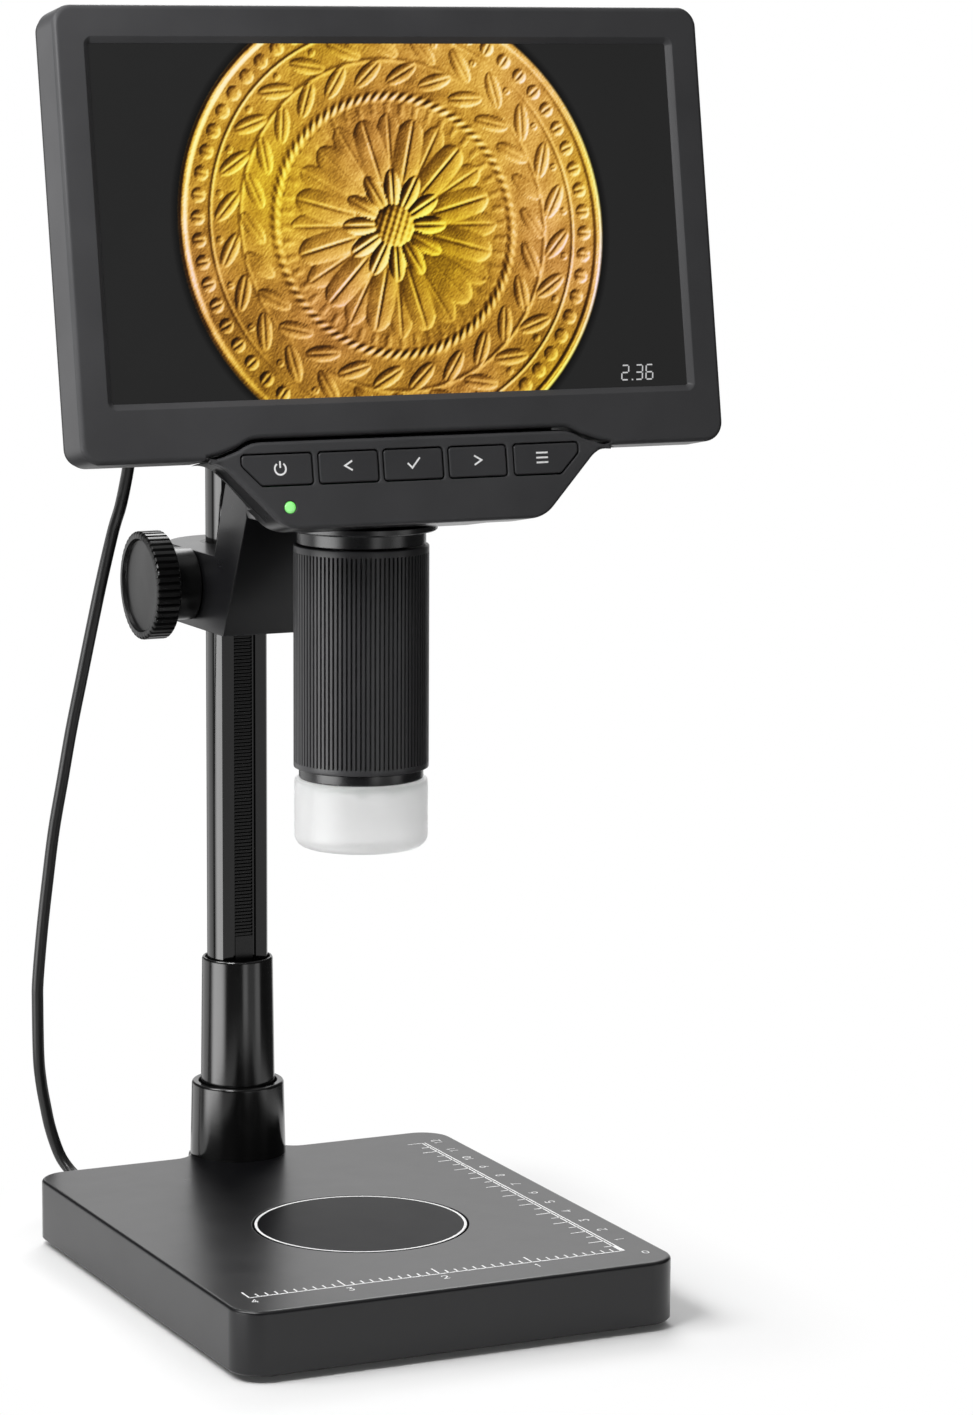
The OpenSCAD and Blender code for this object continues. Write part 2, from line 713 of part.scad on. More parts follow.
module head_housing() {
  color([0.16, 0.16, 0.17]) difference() {
    union() {
      on_display() slab(panel_t, skirt_depth) panel_outline();
      on_display() slab(panel_t + 1, skirt_depth) intersection() {
        panel_outline(seam_behind);
        square([104, 200], center = true);
      }
      on_display() slab(skirt_depth - eps, skirt_low_depth) intersection() {
        panel_outline();
        translate([-40, panel_low - 1]) square([80, 8.6]);
      }
      intersection() {
        across(-60, 60) head_side();
        translate([0, 0, 190]) linear_extrude(60) head_plan();
        slab(-60, 40) head_front();
      }
      intersection() {
        across(-45, 45) wide_side();
        translate([0, 0, 190]) linear_extrude(60) translate([0, -4]) soft_rect(90, 60, 4);
      }
    }
    // chamber behind the panel
    on_display() slab(panel_t - eps, skirt_depth - 0.6) polygon(chamber_outline());
    // chamber above the barrel, and the wire way to the back
    translate([-15, -34, head_low + 2]) cube([30, 46, 14.5]);
    translate([-41, -12, 217.5]) cube([82, 34, 8.7]);
    translate([-14, -12, 206]) cube([28, 24, 20]);
    // opening for the barrel, seat on the arm and bores for the screws
    translate([0, optic_y, head_low - 1]) cylinder(h = 5, r = 12.05);
    translate([-arm_w / 2 - 1, neck_front, head_low - 3])
      cube([arm_w + 2, 20, arm_top - head_low + 3]);
    // seat of the cover
    translate([-42.1, -12.1, cover_low]) cube([84.2, 35.2, 3]);
    cover_screw_places() translate([0, 0, 219]) cylinder(h = 12, r = 0.9);
    // mouth of the cable socket
    translate([head_exit[0] - 4.7, 15, head_exit[2] - 2.1]) cube([9.4, 12, 4.2]);
    hinge_relief();
  }
  color([0.16, 0.16, 0.17]) hinge_ears();
}

module head_cover() {
  color([0.15, 0.15, 0.16]) difference() {
    translate([-42, -12, cover_low]) cube([84, 35, cover_t]);
    cover_screw_places() translate([0, 0, 220]) cylinder(h = 12, r = 1.3);
    for (s = [-1, 1]) for (i = [0 : 5])
      translate([s * (6 + i * 5) - 0.9, -2, 225]) cube([1.8, 14, 5]);
  }
}

module head_cover_screws() {
  color([0.3, 0.3, 0.32]) cover_screw_places()
    translate([0, 0, cover_low + cover_t]) rotate([180, 0, 0]) screw(1.9, 0.9, 0.85, 6);
}

// The hinge lies across the head behind the seam; its ears stand on the head
module hinge_ears() {
  on_display() for (s = ear_spans) difference() {
    union() {
      translate([0, hinge_w, hinge_v]) rod_x(s[0], s[1], hinge_r);
      across(s[0], s[1]) polygon([[hinge_w - 3.2, hinge_v], [hinge_w + 3.2, hinge_v],
        [hinge_w + 5.5, hinge_v - 7], [hinge_w - 3.2, hinge_v - 7]]);
    }
    translate([0, hinge_w, hinge_v]) rod_x(s[0] - 1, s[1] + 1, pin_r);
  }
}

module hinge_relief() {
  on_display() for (s = knuckle_spans)
    translate([0, hinge_w, hinge_v]) rod_x(s[0] - 0.3, s[1] + 0.3, hinge_r + 0.5);
}

module hinge_pin() {
  color([0.7, 0.7, 0.72]) on_display() translate([0, hinge_w, hinge_v]) rod_x(-42, 42, pin_r);
}

module head_socket() {
  color([0.7, 0.7, 0.72]) translate([head_exit[0], head_exit[1] - 0.4, head_exit[2]])
    socket_shell();
}

// ---------- barrel ----------

module barrel_mount() {
  color([0.12, 0.12, 0.13]) translate([0, optic_y, 0]) rotate_extrude()
    polygon([[11.55, 194.1], [16.3, 194.1], [16.3, 197.2], [19.2, 197.7], [19.2, head_low],
      [12, head_low], [12, 202.5], [9, 202.5], [9, 200.5], [11.55, 200.5]]);
}

module lens_tube() {
  color([0.13, 0.13, 0.14]) translate([0, optic_y, 0]) rotate_extrude()
    polygon([[9.5, 134.4], [15.3, 134.4], [15.7, 134.8], [15.7, ring_low - 0.3],
      [tube_r, ring_low - 0.3], [tube_r, ring_high], [11.5, ring_high], [11.5, 200.4], [9.5, 200.4]]);
}

// Grip of the focus ring: vertical ribs between two smooth bands
module ring_grip_outline() {
  circle(ring_r - 0.6);
  ribs(ring_ribs, ring_r, ring_rib_w);
}

module focus_ring() {
  color([0.13, 0.13, 0.14]) translate([0, optic_y, 0]) difference() {
    union() {
      translate([0, 0, ring_low]) cylinder(h = ring_band, r = ring_r);
      translate([0, 0, ring_low + ring_band - eps]) linear_extrude(rib_len) ring_grip_outline();
      translate([0, 0, ring_low + ring_band + rib_len - 2 * eps])
        cylinder(h = ring_high - ring_low - ring_band - rib_len, r = ring_r);
    }
    translate([0, 0, ring_low - 1]) cylinder(h = 60, r = tube_r + fit);
  }
}

module lens_cell() {
  color([0.1, 0.1, 0.1]) translate([0, optic_y, 0]) rotate_extrude()
    polygon([[6, 144], [9.45, 144], [9.45, 156], [6, 156], [6, 150.4], [7.6, 150.4],
      [7.6, 146.4], [6, 146.4]]);
}

module objective_lens() {
  color([0.6, 0.75, 0.85, 0.5]) translate([0, optic_y, 0]) rotate_extrude()
    polygon(concat([[0, 147.6]], arc([0, 162.2], 15.8, 270, 298.7, 5),
      [[7.6, 149.2], [0, 149.2]]));
}

module camera_board() {
  color([0.1, 0.35, 0.2]) translate([-12, optic_y - 12, 203.5]) cube([24, 24, 1.2]);
  color([0.1, 0.1, 0.1]) translate([0, optic_y, 202.5 - eps]) cylinder(h = 1 + 2 * eps, r = 8);
}

module light_ring() {
  color([0.1, 0.3, 0.18]) translate([0, optic_y, 0]) difference() {
    translate([0, 0, 132.6]) cylinder(h = 1.2, r = 14.6);
    translate([0, 0, 130]) cylinder(h = 6, r = 7.5);
  }
  color([0.95, 0.95, 0.8]) translate([0, optic_y, 0]) for (i = [0 : 7])
    rotate(i * 45 + 22.5) translate([11.2, 0, 131]) cylinder(h = 1.6 + eps, r = 1.3);
}

module light_shade() {
  top = 134.35;
  low = shade_bottom;
  color([0.93, 0.93, 0.92, 0.9]) translate([0, optic_y, 0]) rotate_extrude()
    polygon(concat([[14.75, top - 2], [14.75, top], [shade_r - 0.5, top], [shade_r, top - 0.5]],
      arc([shade_r - 3, low + 3], 3, 0, -75, 6),
      [[shade_r - 3.6, low], [shade_r - 3.6, low + 1.5], [15.4, low + 3.4], [15.4, top - 2]]));
}

// ---------- display ----------

module bezel_outline(inset) {
  mid = (bezel_high + bezel_low) / 2;
  translate([0, mid])
    soft_rect(display_w - 2 * inset, bezel_high - bezel_low - 2 * inset, bezel_r - inset);
}

// The notch in the bezel's lower edge that the control panel reaches into
module notch_outline(grow) {
  half = seam_half(-grow);
  polygon(concat([[0, bezel_low - 9]], [[ear_u + 1.5, bezel_low - 9]],
    [for (i = [len(half) - 1 : -1 : 0]) half[i]],
    mirrored([for (i = [len(half) - 1 : -1 : 1]) half[i]]), [[-ear_u - 1.5, bezel_low - 9]]));
}

module display_bezel() {
  color([0.24, 0.24, 0.25]) on_display() difference() {
    hull() {
      slab(0, 0.1) bezel_outline(bezel_chamfer);
      slab(bezel_chamfer, bezel_depth - 0.6) bezel_outline(0);
      slab(bezel_depth - 0.1, bezel_depth) bezel_outline(0.6);
    }
    slab(-1, bezel_depth + 1) notch_outline(0);
    hull() {
      slab(-1, -0.9) square([screen_w + 4 * screen_lip, screen_h + 4 * screen_lip], center = true);
      slab(1.2, 1.3) square([screen_w, screen_h], center = true);
    }
    slab(0, 3) square([screen_w, screen_h], center = true);
    slab(1.5, 7) square([display_w - 7.4, 94], center = true);
    difference() {
      slab(5, bezel_depth + 1) square([display_w - 5, 97], center = true);
      back_screw_places() rod_back(6.6, bezel_depth + 2, 3);
    }
    back_screw_places() rod_back(7.5, bezel_depth + 1, 0.9);
    translate([0, hinge_w, hinge_v]) rod_x(-43, 43, hinge_r + 0.4);
  }
}

module back_screw_places() {
  for (su = [-1, 1]) for (v = [-46.5, 46.5]) translate([su * 80.5, 0, v]) children();
}

module screen_glass() {
  color([0.05, 0.05, 0.06]) on_display() slab(1.5, 2.6) square([164.2, 93.4], center = true);
}

module lcd_panel() {
  color([0.3, 0.3, 0.32]) on_display() slab(2.7, 6.4) square([163.5, 92.5], center = true);
}

module main_board() {
  color([0.1, 0.35, 0.2]) on_display() slab(8, 9.4)
    translate([30, 0]) square([84, 70], center = true);
  color([0.1, 0.1, 0.1]) on_display() slab(9.4 - eps, 11)
    translate([30, 6]) square([14, 14], center = true);
}

module battery() {
  color([0.5, 0.55, 0.6]) on_display() slab(8, 14.6) translate([-40, 0]) soft_rect(50, 60, 3);
}

module display_back() {
  color([0.16, 0.16, 0.17]) on_display() difference() {
    union() {
      slab(bezel_depth + 0.02, bezel_depth + 2) difference() {
        bezel_outline(0.6);
        notch_outline(0.6);
      }
      hull() {
        slab(bezel_depth + 1.9, bezel_depth + 2) translate([0, back_v]) soft_rect(150, 82, 6);
        slab(back_w - 0.1, back_w) translate([0, back_v]) soft_rect(140, 72, 6);
      }
      hinge_knuckles();
    }
    for (s = ear_spans)
      translate([0, hinge_w, hinge_v]) rod_x(s[0] - 0.3, s[1] + 0.3, hinge_r + 0.4);
    slab(bezel_depth - 1, back_w - 1.8) translate([0, back_v]) square([136, 68], center = true);
    back_screw_places() rod_back(bezel_depth - 1, back_w, 1);
    for (i = [0 : vent_count - 1]) slab(bezel_depth, back_w + 1)
      translate([(i - (vent_count - 1) / 2) * vent_pitch, 22]) square([1.8, 18], center = true);
    translate([0, hinge_w, hinge_v]) rod_x(-43, 43, pin_r + fit);
  }
}

module hinge_knuckles() {
  for (s = knuckle_spans) {
    translate([0, hinge_w, hinge_v]) rod_x(s[0], s[1], hinge_r);
    across(s[0], s[1]) polygon([[hinge_w + 0.02, hinge_v], [hinge_w + 3.1, hinge_v],
      [hinge_w + 3.1, hinge_v + 6], [hinge_w + 1.9, hinge_v + 9], [hinge_w + 0.02, hinge_v + 9]]);
  }
}

module back_screws() {
  color([0.3, 0.3, 0.32]) on_display() back_screw_places()
    translate([0, bezel_depth + 2, 0]) rotate([90, 0, 0]) screw(2.1, 1, 0.85, 6);
}

// ---------- cable ----------

function unit(v) = v / norm(v);
function heading(i) = unit(CABLE_ROUTE[min(i + 1, len(CABLE_ROUTE) - 1)] - CABLE_ROUTE[max(i - 1, 0)]);
// One ring of points square to the cable's run; its first axis stays near +X
function ring_at(i, d) = let (
    a = unit(cross([1, 0, 0], d)), b = cross(d, a))
  [for (k = [0 : cable_sides - 1]) CABLE_ROUTE[i]
    + cable_r * (cos(k * 360 / cable_sides) * a + sin(k * 360 / cable_sides) * b)];
function end_heading(i) = i == 0 ? [0, 1, 0] : i == len(CABLE_ROUTE) - 1 ? [0, -1, 0] : heading(i);

module cable() {
  n = len(CABLE_ROUTE);
  m = cable_sides;
  points = [for (i = [0 : n - 1]) each ring_at(i, end_heading(i))];
  sides = [for (i = [0 : n - 2]) for (k = [0 : m - 1]) each [
    [i * m + k, (i + 1) * m + (k + 1) % m, i * m + (k + 1) % m],
    [i * m + k, (i + 1) * m + k, (i + 1) * m + (k + 1) % m]]];
  ends = [[for (k = [0 : m - 1]) k], [for (k = [m - 1 : -1 : 0]) (n - 1) * m + k]];
  color([0.06, 0.06, 0.06]) polyhedron(points = points, faces = concat(sides, ends));
}

// A plug that faces -Y, its mating face at the origin and its cable end at plug_len
module plug() {
  rotate([-90, 0, 0]) rotate_extrude()
    polygon([[0, 0], [4, 0], [4, 5.5], [3.4, 6.5], [2.6, plug_len - 1], [2.2, plug_len], [0, plug_len]]);
}

module head_plug() {
  color([0.07, 0.07, 0.07]) translate(head_exit) plug();
}

module base_plug() {
  color([0.07, 0.07, 0.07]) translate(base_exit) plug();
}

base_housing();
base_bottom_plate();
base_plate_screws();
rubber_feet();
weighing_pan();
pan_carrier();
load_cell();
load_cell_screws();
scale_board();
base_socket();
lower_collar();
upper_collar();
column_rod();
gear_rack();
column_cap();
column_bolt();
carriage_arm();
guide_sleeve();
friction_pad();
tension_screw();
pinion_bushes();
pinion_shaft();
left_knob();
right_knob();
knob_screws();
head_housing();
head_cover();
head_cover_screws();
control_panel();
button_board();
status_light();
hinge_pin();
head_socket();
power_button();
left_button();
ok_button();
right_button();
menu_button();
barrel_mount();
lens_tube();
focus_ring();
lens_cell();
objective_lens();
camera_board();
light_ring();
light_shade();
display_bezel();
display_back();
screen_glass();
lcd_panel();
main_board();
battery();
back_screws();
cable();
head_plug();
base_plug();
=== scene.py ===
"""Looks of the LCD digital microscope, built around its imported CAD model. Metres, +Z up."""

import json
import math

import bmesh
import bpy
import numpy as np
from mathutils import Matrix, Vector
from mathutils.geometry import tessellate_polygon

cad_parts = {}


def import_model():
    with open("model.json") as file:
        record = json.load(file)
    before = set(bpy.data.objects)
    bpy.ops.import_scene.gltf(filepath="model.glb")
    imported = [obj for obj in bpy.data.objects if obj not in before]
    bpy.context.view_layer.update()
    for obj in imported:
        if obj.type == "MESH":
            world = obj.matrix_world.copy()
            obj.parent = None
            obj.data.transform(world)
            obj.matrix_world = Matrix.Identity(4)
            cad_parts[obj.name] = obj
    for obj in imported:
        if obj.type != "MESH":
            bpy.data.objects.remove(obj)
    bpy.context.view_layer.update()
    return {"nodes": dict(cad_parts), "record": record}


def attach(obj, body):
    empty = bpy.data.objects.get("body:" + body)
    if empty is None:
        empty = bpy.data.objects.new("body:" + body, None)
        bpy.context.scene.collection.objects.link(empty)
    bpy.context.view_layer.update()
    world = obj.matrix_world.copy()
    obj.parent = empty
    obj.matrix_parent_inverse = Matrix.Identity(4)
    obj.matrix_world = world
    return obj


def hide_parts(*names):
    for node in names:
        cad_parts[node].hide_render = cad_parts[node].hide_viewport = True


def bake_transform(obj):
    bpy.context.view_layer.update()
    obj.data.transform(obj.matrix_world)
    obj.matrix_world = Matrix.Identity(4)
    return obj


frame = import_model()
NODES = frame["nodes"]
MM = 0.001

# ---- driving sizes, millimetres
OPTIC_AT = (0.0, -18.0)
COLUMN_Y = 64.5
COLUMN_AT = (0.0, COLUMN_Y)
SCREEN_CENTRE = (0.0, -40.1, 275.9)
SCREEN_TILT = 9.7
BASE_TOP = 18.0
BASE_W = 119.2
BASE_FRONT = -82.0
BASE_BACK = 63.6
BASE_UNDER = 1.8
PAN_R = 27.5
SCREEN_W = 154.2
SCREEN_H = 85.9
PINION = (0.0, 52.6, 176.5)

# the camera's place, and its angles: to the right of +Y, down, and over to one side
CAMERA_AT = (-459.5, -1051.6, 326.7)
CAMERA_YAW = 25.57
CAMERA_PITCH = 8.77
CAMERA_ROLL = 0.30
LENS_MM = 115.33


def world(p):
    """A point in millimetres, as a vector in metres."""
    return Vector((p[0] * MM, p[1] * MM, p[2] * MM))


def new_object(name, data):
    """An object that holds the data, in the scene."""
    obj = bpy.data.objects.new(name, data)
    bpy.context.scene.collection.objects.link(obj)
    return obj


UPRIGHT = Matrix.Scale(MM, 4)
# the screen's own frame: u to the right, w back from its face, v up
LEANING = Matrix.Rotation(math.radians(-SCREEN_TILT), 4, "X")
DISPLAY = Matrix.Translation(world(SCREEN_CENTRE)) @ LEANING @ UPRIGHT


# ---- camera
def make_camera():
    """The camera, whose place and angles were fitted to the printed scales."""
    data = bpy.data.cameras.new("camera")
    cam = new_object("camera", data)
    yaw, pitch, roll = (math.radians(a) for a in (CAMERA_YAW, CAMERA_PITCH, CAMERA_ROLL))
    look = Vector((math.sin(yaw) * math.cos(pitch), math.cos(yaw) * math.cos(pitch), -math.sin(pitch)))
    right = Vector((math.cos(yaw), -math.sin(yaw), 0))
    up = right.cross(look)
    rolled_right = math.cos(roll) * right + math.sin(roll) * up
    rolled_up = math.cos(roll) * up - math.sin(roll) * right
    axes = Matrix((rolled_right, rolled_up, -look)).transposed()
    cam.matrix_world = Matrix.Translation(world(CAMERA_AT)) @ axes.to_4x4()
    data.lens = LENS_MM
    data.sensor_width = 36
    data.clip_start = 0.01
    data.clip_end = 50
    bpy.context.scene.camera = cam


make_camera()


# ---- node helpers
class Nodes:
    """Short calls that build a node tree. What feeds a node is a plain value or another node's output."""

    def __init__(self, tree):
        self.tree = tree

    def feed(self, value, socket):
        if isinstance(value, bpy.types.NodeSocket):
            self.tree.links.new(value, socket)
        else:
            socket.default_value = value

    def add(self, kind, inputs=(), **settings):
        """A node of that kind, its inputs given by name or by number."""
        node = self.tree.nodes.new("ShaderNode" + kind)
        for key, value in settings.items():
            setattr(node, key, value)
        for key, value in dict(inputs).items():
            self.feed(value, node.inputs[key])
        return node

    def calc(self, operation, *values):
        return self.add("Math", enumerate(values), operation=operation).outputs[0]

    def smooth(self, value, low, high, least=0.0):
        """From least, below low, smoothly up to 1, above high."""
        inputs = {"Value": value, "From Min": low, "From Max": high, "To Min": least}
        return self.add("MapRange", inputs, interpolation_type="SMOOTHSTEP").outputs["Result"]

    def white_mask(self):
        """1 for what the camera sees, and 1 for that and for what a mirror or glass shows."""
        path = self.add("LightPath")
        camera = path.outputs["Is Camera Ray"]
        glossy = self.calc("MAXIMUM", camera, path.outputs["Is Glossy Ray"])
        return camera, self.calc("MAXIMUM", glossy, path.outputs["Is Transmission Ray"])


class Mat(Nodes):
    """A node material with a Principled shader, and short calls for what feeds it."""

    def __init__(self, name):
        self.material = bpy.data.materials.new(name)
        self.material.use_nodes = True
        super().__init__(self.material.node_tree)
        self.shader = self.tree.nodes["Principled BSDF"]
        self.coords = self.add("TexCoord").outputs["Object"]

    def set(self, **values):
        for key, value in values.items():
            self.feed(value, self.shader.inputs[key.replace("_", " ")])

    def noise(self, scale, detail=3.0, vector=None):
        inputs = {"Scale": scale, "Detail": detail, "Vector": vector or self.coords}
        return self.add("TexNoise", inputs).outputs["Fac"]

    def ramp(self, source, stops):
        node = self.add("ValToRGB", {"Fac": source})
        element = node.color_ramp.elements
        while len(element) < len(stops):
            element.new(0.5)
        for spot, (at, colour) in zip(element, stops):
            spot.position = at
            spot.color = (*colour, 1)
        return node.outputs["Color"]

    def colour(self, source, low, high, spread=(0.3, 0.7)):
        """The base colour, from low to high as the source goes over its spread."""
        self.set(Base_Color=self.ramp(source, list(zip(spread, (low, high)))))

    def gloss(self, source, low, high):
        """The roughness, from low to high with the source."""
        inputs = {"Value": source, "To Min": low, "To Max": high}
        self.set(Roughness=self.add("MapRange", inputs).outputs["Result"])

    def bump(self, source, strength, distance, edge=0.0):
        """A bumpy face, and edges that look rounded by a small radius."""
        inputs = {"Height": source, "Strength": strength, "Distance": distance}
        if edge:
            inputs["Normal"] = self.add("Bevel", {"Radius": edge}, samples=4).outputs["Normal"]
        self.set(Normal=self.add("Bump", inputs).outputs["Normal"])


def scaled(colour, factor):
    return tuple(c * factor for c in colour)


def grey(level):
    return (level, level, level)


# scale and height in metres of the fine grain that moulded plastic has
GRAIN_SCALE = 2600
GRAIN_HEIGHT = 0.0002
# height in metres of brush marks, frosting and ink
FINE_HEIGHT = 0.0001
MOTTLE = 0.12


def plastic(name, colour, roughness, grain=0.02, specular=0.4, edge=0.0):
    """Moulded plastic or painted metal: faint mottling, uneven gloss and a fine grain."""
    m = Mat(name)
    m.set(Specular_IOR_Level=specular)
    m.colour(m.noise(38, 4), scaled(colour, 1 - MOTTLE), scaled(colour, 1 + MOTTLE))
    m.gloss(m.noise(90), roughness - 0.03, roughness + 0.04)
    m.bump(m.noise(GRAIN_SCALE, 2), grain, GRAIN_HEIGHT, edge)
    return m.material


def metal(name, colour, roughness, brushed=(1, 1, 1)):
    """Bare metal with fine streaks, drawn out along one axis where it is brushed."""
    m = Mat(name)
    m.set(Metallic=1.0)
    drawn_out = m.add("Mapping", {"Scale": brushed, "Vector": m.coords}).outputs["Vector"]
    streaks = m.noise(700, vector=drawn_out)
    m.colour(streaks, scaled(colour, 0.82), colour)
    m.gloss(streaks, roughness - 0.08, roughness + 0.1)
    m.bump(streaks, 0.05, FINE_HEIGHT)
    return m.material


def frosted(name):
    """Frosted translucent plastic with a faint painted glow: the glow stands in for the light of the lamp
    ring inside it, which is on, and evens out its lit and shaded sides.
    """
    m = Mat(name)
    # the emission is a painted glow in place of light from the lamp ring inside
    m.set(Subsurface_Weight=0.8, Subsurface_Scale=0.02, Subsurface_Radius=grey(1.0),
          Transmission_Weight=0.65, Specular_IOR_Level=0.4,
          Emission_Strength=0.16, Emission_Color=(1, 1, 1, 1))
    m.colour(m.noise(60), grey(0.65), grey(0.70))
    m.gloss(m.noise(220), 0.34, 0.44)
    m.bump(m.noise(3000, 2), 0.03, FINE_HEIGHT)
    return m.material


def lens_glass(name):
    """Coated glass, between a blue and a violet tint."""
    m = Mat(name)
    m.set(Transmission_Weight=0.9, IOR=1.5, Coat_Weight=0.6)
    m.colour(m.noise(30), (0.5, 0.62, 0.8), (0.62, 0.5, 0.8))
    m.gloss(m.noise(200), 0.02, 0.06)
    return m.material


def lamp_lens(name, colour, strength):
    """A lit lens, palest where it faces the eye and darker round its rim."""
    m = Mat(name)
    facing = m.add("LayerWeight").outputs["Facing"]
    pale = tuple(0.6 * c + 0.4 for c in colour)
    glow = m.ramp(facing, [(0.12, pale), (0.45, colour), (0.8, scaled(colour, 0.35))])
    m.set(Emission_Color=glow, Emission_Strength=strength, Coat_Weight=0.5)
    m.colour(m.noise(900, 2), scaled(colour, 0.85), colour)
    m.gloss(m.noise(900, 2), 0.2, 0.3)
    return m.material


def printed(name):
    """White ink, worn a little unevenly."""
    m = Mat(name)
    ink = m.noise(1500)
    m.colour(ink, grey(0.754), grey(0.92), (0.25, 0.6))
    m.gloss(ink, 0.45, 0.6)
    m.bump(ink, 0.04, FINE_HEIGHT)
    return m.material


def board(name):
    """A green circuit board with paler lines between its fields."""
    m = Mat(name)
    inputs = {"Scale": 260, "Color1": (0.012, 0.10, 0.04, 1), "Color2": (0.016, 0.12, 0.05, 1),
              "Mortar": (0.03, 0.18, 0.08, 1), "Vector": m.coords}
    m.set(Base_Color=m.add("TexBrick", inputs).outputs["Color"])
    m.gloss(m.noise(300), 0.25, 0.4)
    return m.material


PAINT_LAYER = "picture"


def lit_picture(name):
    """The lit screen: its glow comes from the colours painted on the mesh."""
    m = Mat(name)
    paint = m.add("VertexColor", layer_name=PAINT_LAYER).outputs["Color"]
    m.set(Emission_Color=paint, Emission_Strength=1.0, Specular_IOR_Level=0.06)
    m.colour(m.noise(50), grey(0.003), grey(0.004))
    m.gloss(m.noise(120), 0.16, 0.2)
    return m.material


# colour, roughness, strength of the grain, specular level, rounding of the edges in metres
PLASTICS = {
    "satin_black_plastic": ((0.003, 0.003, 0.004), 0.29, 0.05, 0.5, 0.0004),
    "dark_plastic": ((0.018, 0.018, 0.019), 0.45, 0.12, 0.2, 0.0004),
    "rubber": (grey(0.012), 0.8, 0.2, 0.3),
    "pan_black": ((0.004, 0.004, 0.005), 0.30, 0.01, 0.03),
    "collar_black": (grey(0.003), 0.15, 0.02, 0.6, 0.0003),
    "gloss_black_metal": (grey(0.002), 0.08, 0.01, 0.6),
    "rack_black": (grey(0.003), 0.25, 0.02, 0.45),
    "arm_black": ((0.008, 0.008, 0.009), 0.28, 0.06, 0.35, 0.0006),
    "acetal": (grey(0.006), 0.4),
    "knob_black": (grey(0.006), 0.28, 0.05, 0.35),
    "bezel_grey": ((0.050, 0.050, 0.052), 0.36, 0.08, 0.16, 0.0003),
    "button_grey": ((0.041, 0.041, 0.043), 0.36, 0.05, 0.25),
    "barrel_black": ((0.010, 0.010, 0.011), 0.26, 0.02, 0.6, 0.0002),
    "ribbed_black": ((0.042, 0.042, 0.044), 0.32, 0.03, 0.3),
    "screen": (grey(0.012), 0.14, 0.0, 0.15),
    "battery_wrap": ((0.3, 0.35, 0.4), 0.3),
    "cable_black": (grey(0.008), 0.32, 0.03, 0.45),
}
# colour, roughness, and how a brushed one's streaks are drawn out
METALS = {
    "steel": ((0.62, 0.62, 0.64), 0.3),
    "dark_steel": ((0.08, 0.08, 0.085), 0.35),
    "sheet_steel": ((0.5, 0.5, 0.52), 0.35),
    "aluminium": ((0.7, 0.7, 0.72), 0.35, (1, 8, 1)),
    "brass": ((0.75, 0.56, 0.25), 0.3),
}
# colour and strength of the glow
LAMPS = {"green_light": ((0.16, 0.80, 0.12), 0.45), "lit_white": ((0.55, 0.55, 0.56), 0.35)}
MATS = {}
for make, looks in ((plastic, PLASTICS), (metal, METALS), (lamp_lens, LAMPS)):
    for name, look in looks.items():
        MATS[name] = make(name, *look)
for name, make in (("circuit_board", board), ("lens_glass", lens_glass), ("frosted_white", frosted),
                   ("white_print", printed), ("lit_screen", lit_picture)):
    MATS[name] = make(name)
RECORD = frame["record"]
SLOT_OF = {row["node"]: row["material_slot"] for row in RECORD["subparts"]}
BODY_OF = {node: body for body, names in RECORD["behaviour"]["bodies"].items() for node in names}

for node, slot_name in SLOT_OF.items():
    materials = NODES[node].data.materials
    materials.clear()
    materials.append(MATS[slot_name])


# ---- mesh helpers
SHARP_ANGLE = 32


def piece(name, verts, faces, slot, body, place=UPRIGHT, replaces=(), paint=None):
    """A mesh from points in millimetres, in place, riding on a body. It is smoothed where it is round.
    Paint is the material of a flat print, which isn't smoothed."""
    mesh = bpy.data.meshes.new(name)
    mesh.from_pydata([tuple(place @ Vector(v)) for v in verts], [], faces)
    mesh.validate()
    mesh.update()
    obj = new_object(name, mesh)
    mesh.materials.append(MATS[paint or slot])
    if not paint:
        mesh.shade_smooth()
        mesh.set_sharp_from_angle(angle=math.radians(SHARP_ANGLE))
        normals = obj.modifiers.new("normals", "WEIGHTED_NORMAL")
        normals.keep_sharp = True
    if body:
        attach(obj, body)
    if replaces:
        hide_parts(*replaces)
    return obj


def stands_for(node, form, place=UPRIGHT):
    """A form in place of a CAD node, with that node's material and body."""
    return piece(node + "_form", *form, SLOT_OF[node], BODY_OF[node], place, replaces=[node])


def fillet_outline(corners, step):
    """A closed outline through corners (x, y, radius), each rounded by an arc in steps of some degrees."""
    points = []
    n = len(corners)
    for i, (x, y, r) in enumerate(corners):
        if r <= 0:
            points.append((x, y))
            continue
        here = Vector((x, y))
        a = (Vector(corners[i - 1][:2]) - here).normalized()
        b = (Vector(corners[(i + 1) % n][:2]) - here).normalized()
        half = math.acos(max(-1, min(1, a.dot(b)))) / 2
        reach = r / math.tan(half)
        centre = here + (a + b).normalized() * r / math.sin(half)
        start = here + a * reach - centre
        end = here + b * reach - centre
        turn = math.atan2(start.x * end.y - start.y * end.x, start.dot(end))
        count = max(2, int(abs(math.degrees(turn)) / step) + 1)
        base = math.atan2(start.y, start.x)
        for k in range(count + 1):
            angle = base + turn * k / count
            points.append((centre.x + r * math.cos(angle), centre.y + r * math.sin(angle)))
    return points


def offset(points, d):
    """The outline moved inwards by d, for an outline that runs anticlockwise."""
    n = len(points)
    moved = []
    for i in range(n):
        p = Vector(points[i])
        a = (p - Vector(points[i - 1])).normalized()
        b = (Vector(points[(i + 1) % n]) - p).normalized()
        na, nb = Vector((-a.y, a.x)), Vector((-b.y, b.x))
        mid = (na + nb).normalized()
        moved.append(tuple(p + mid * d / max(0.5, mid.dot(na))))
    return moved


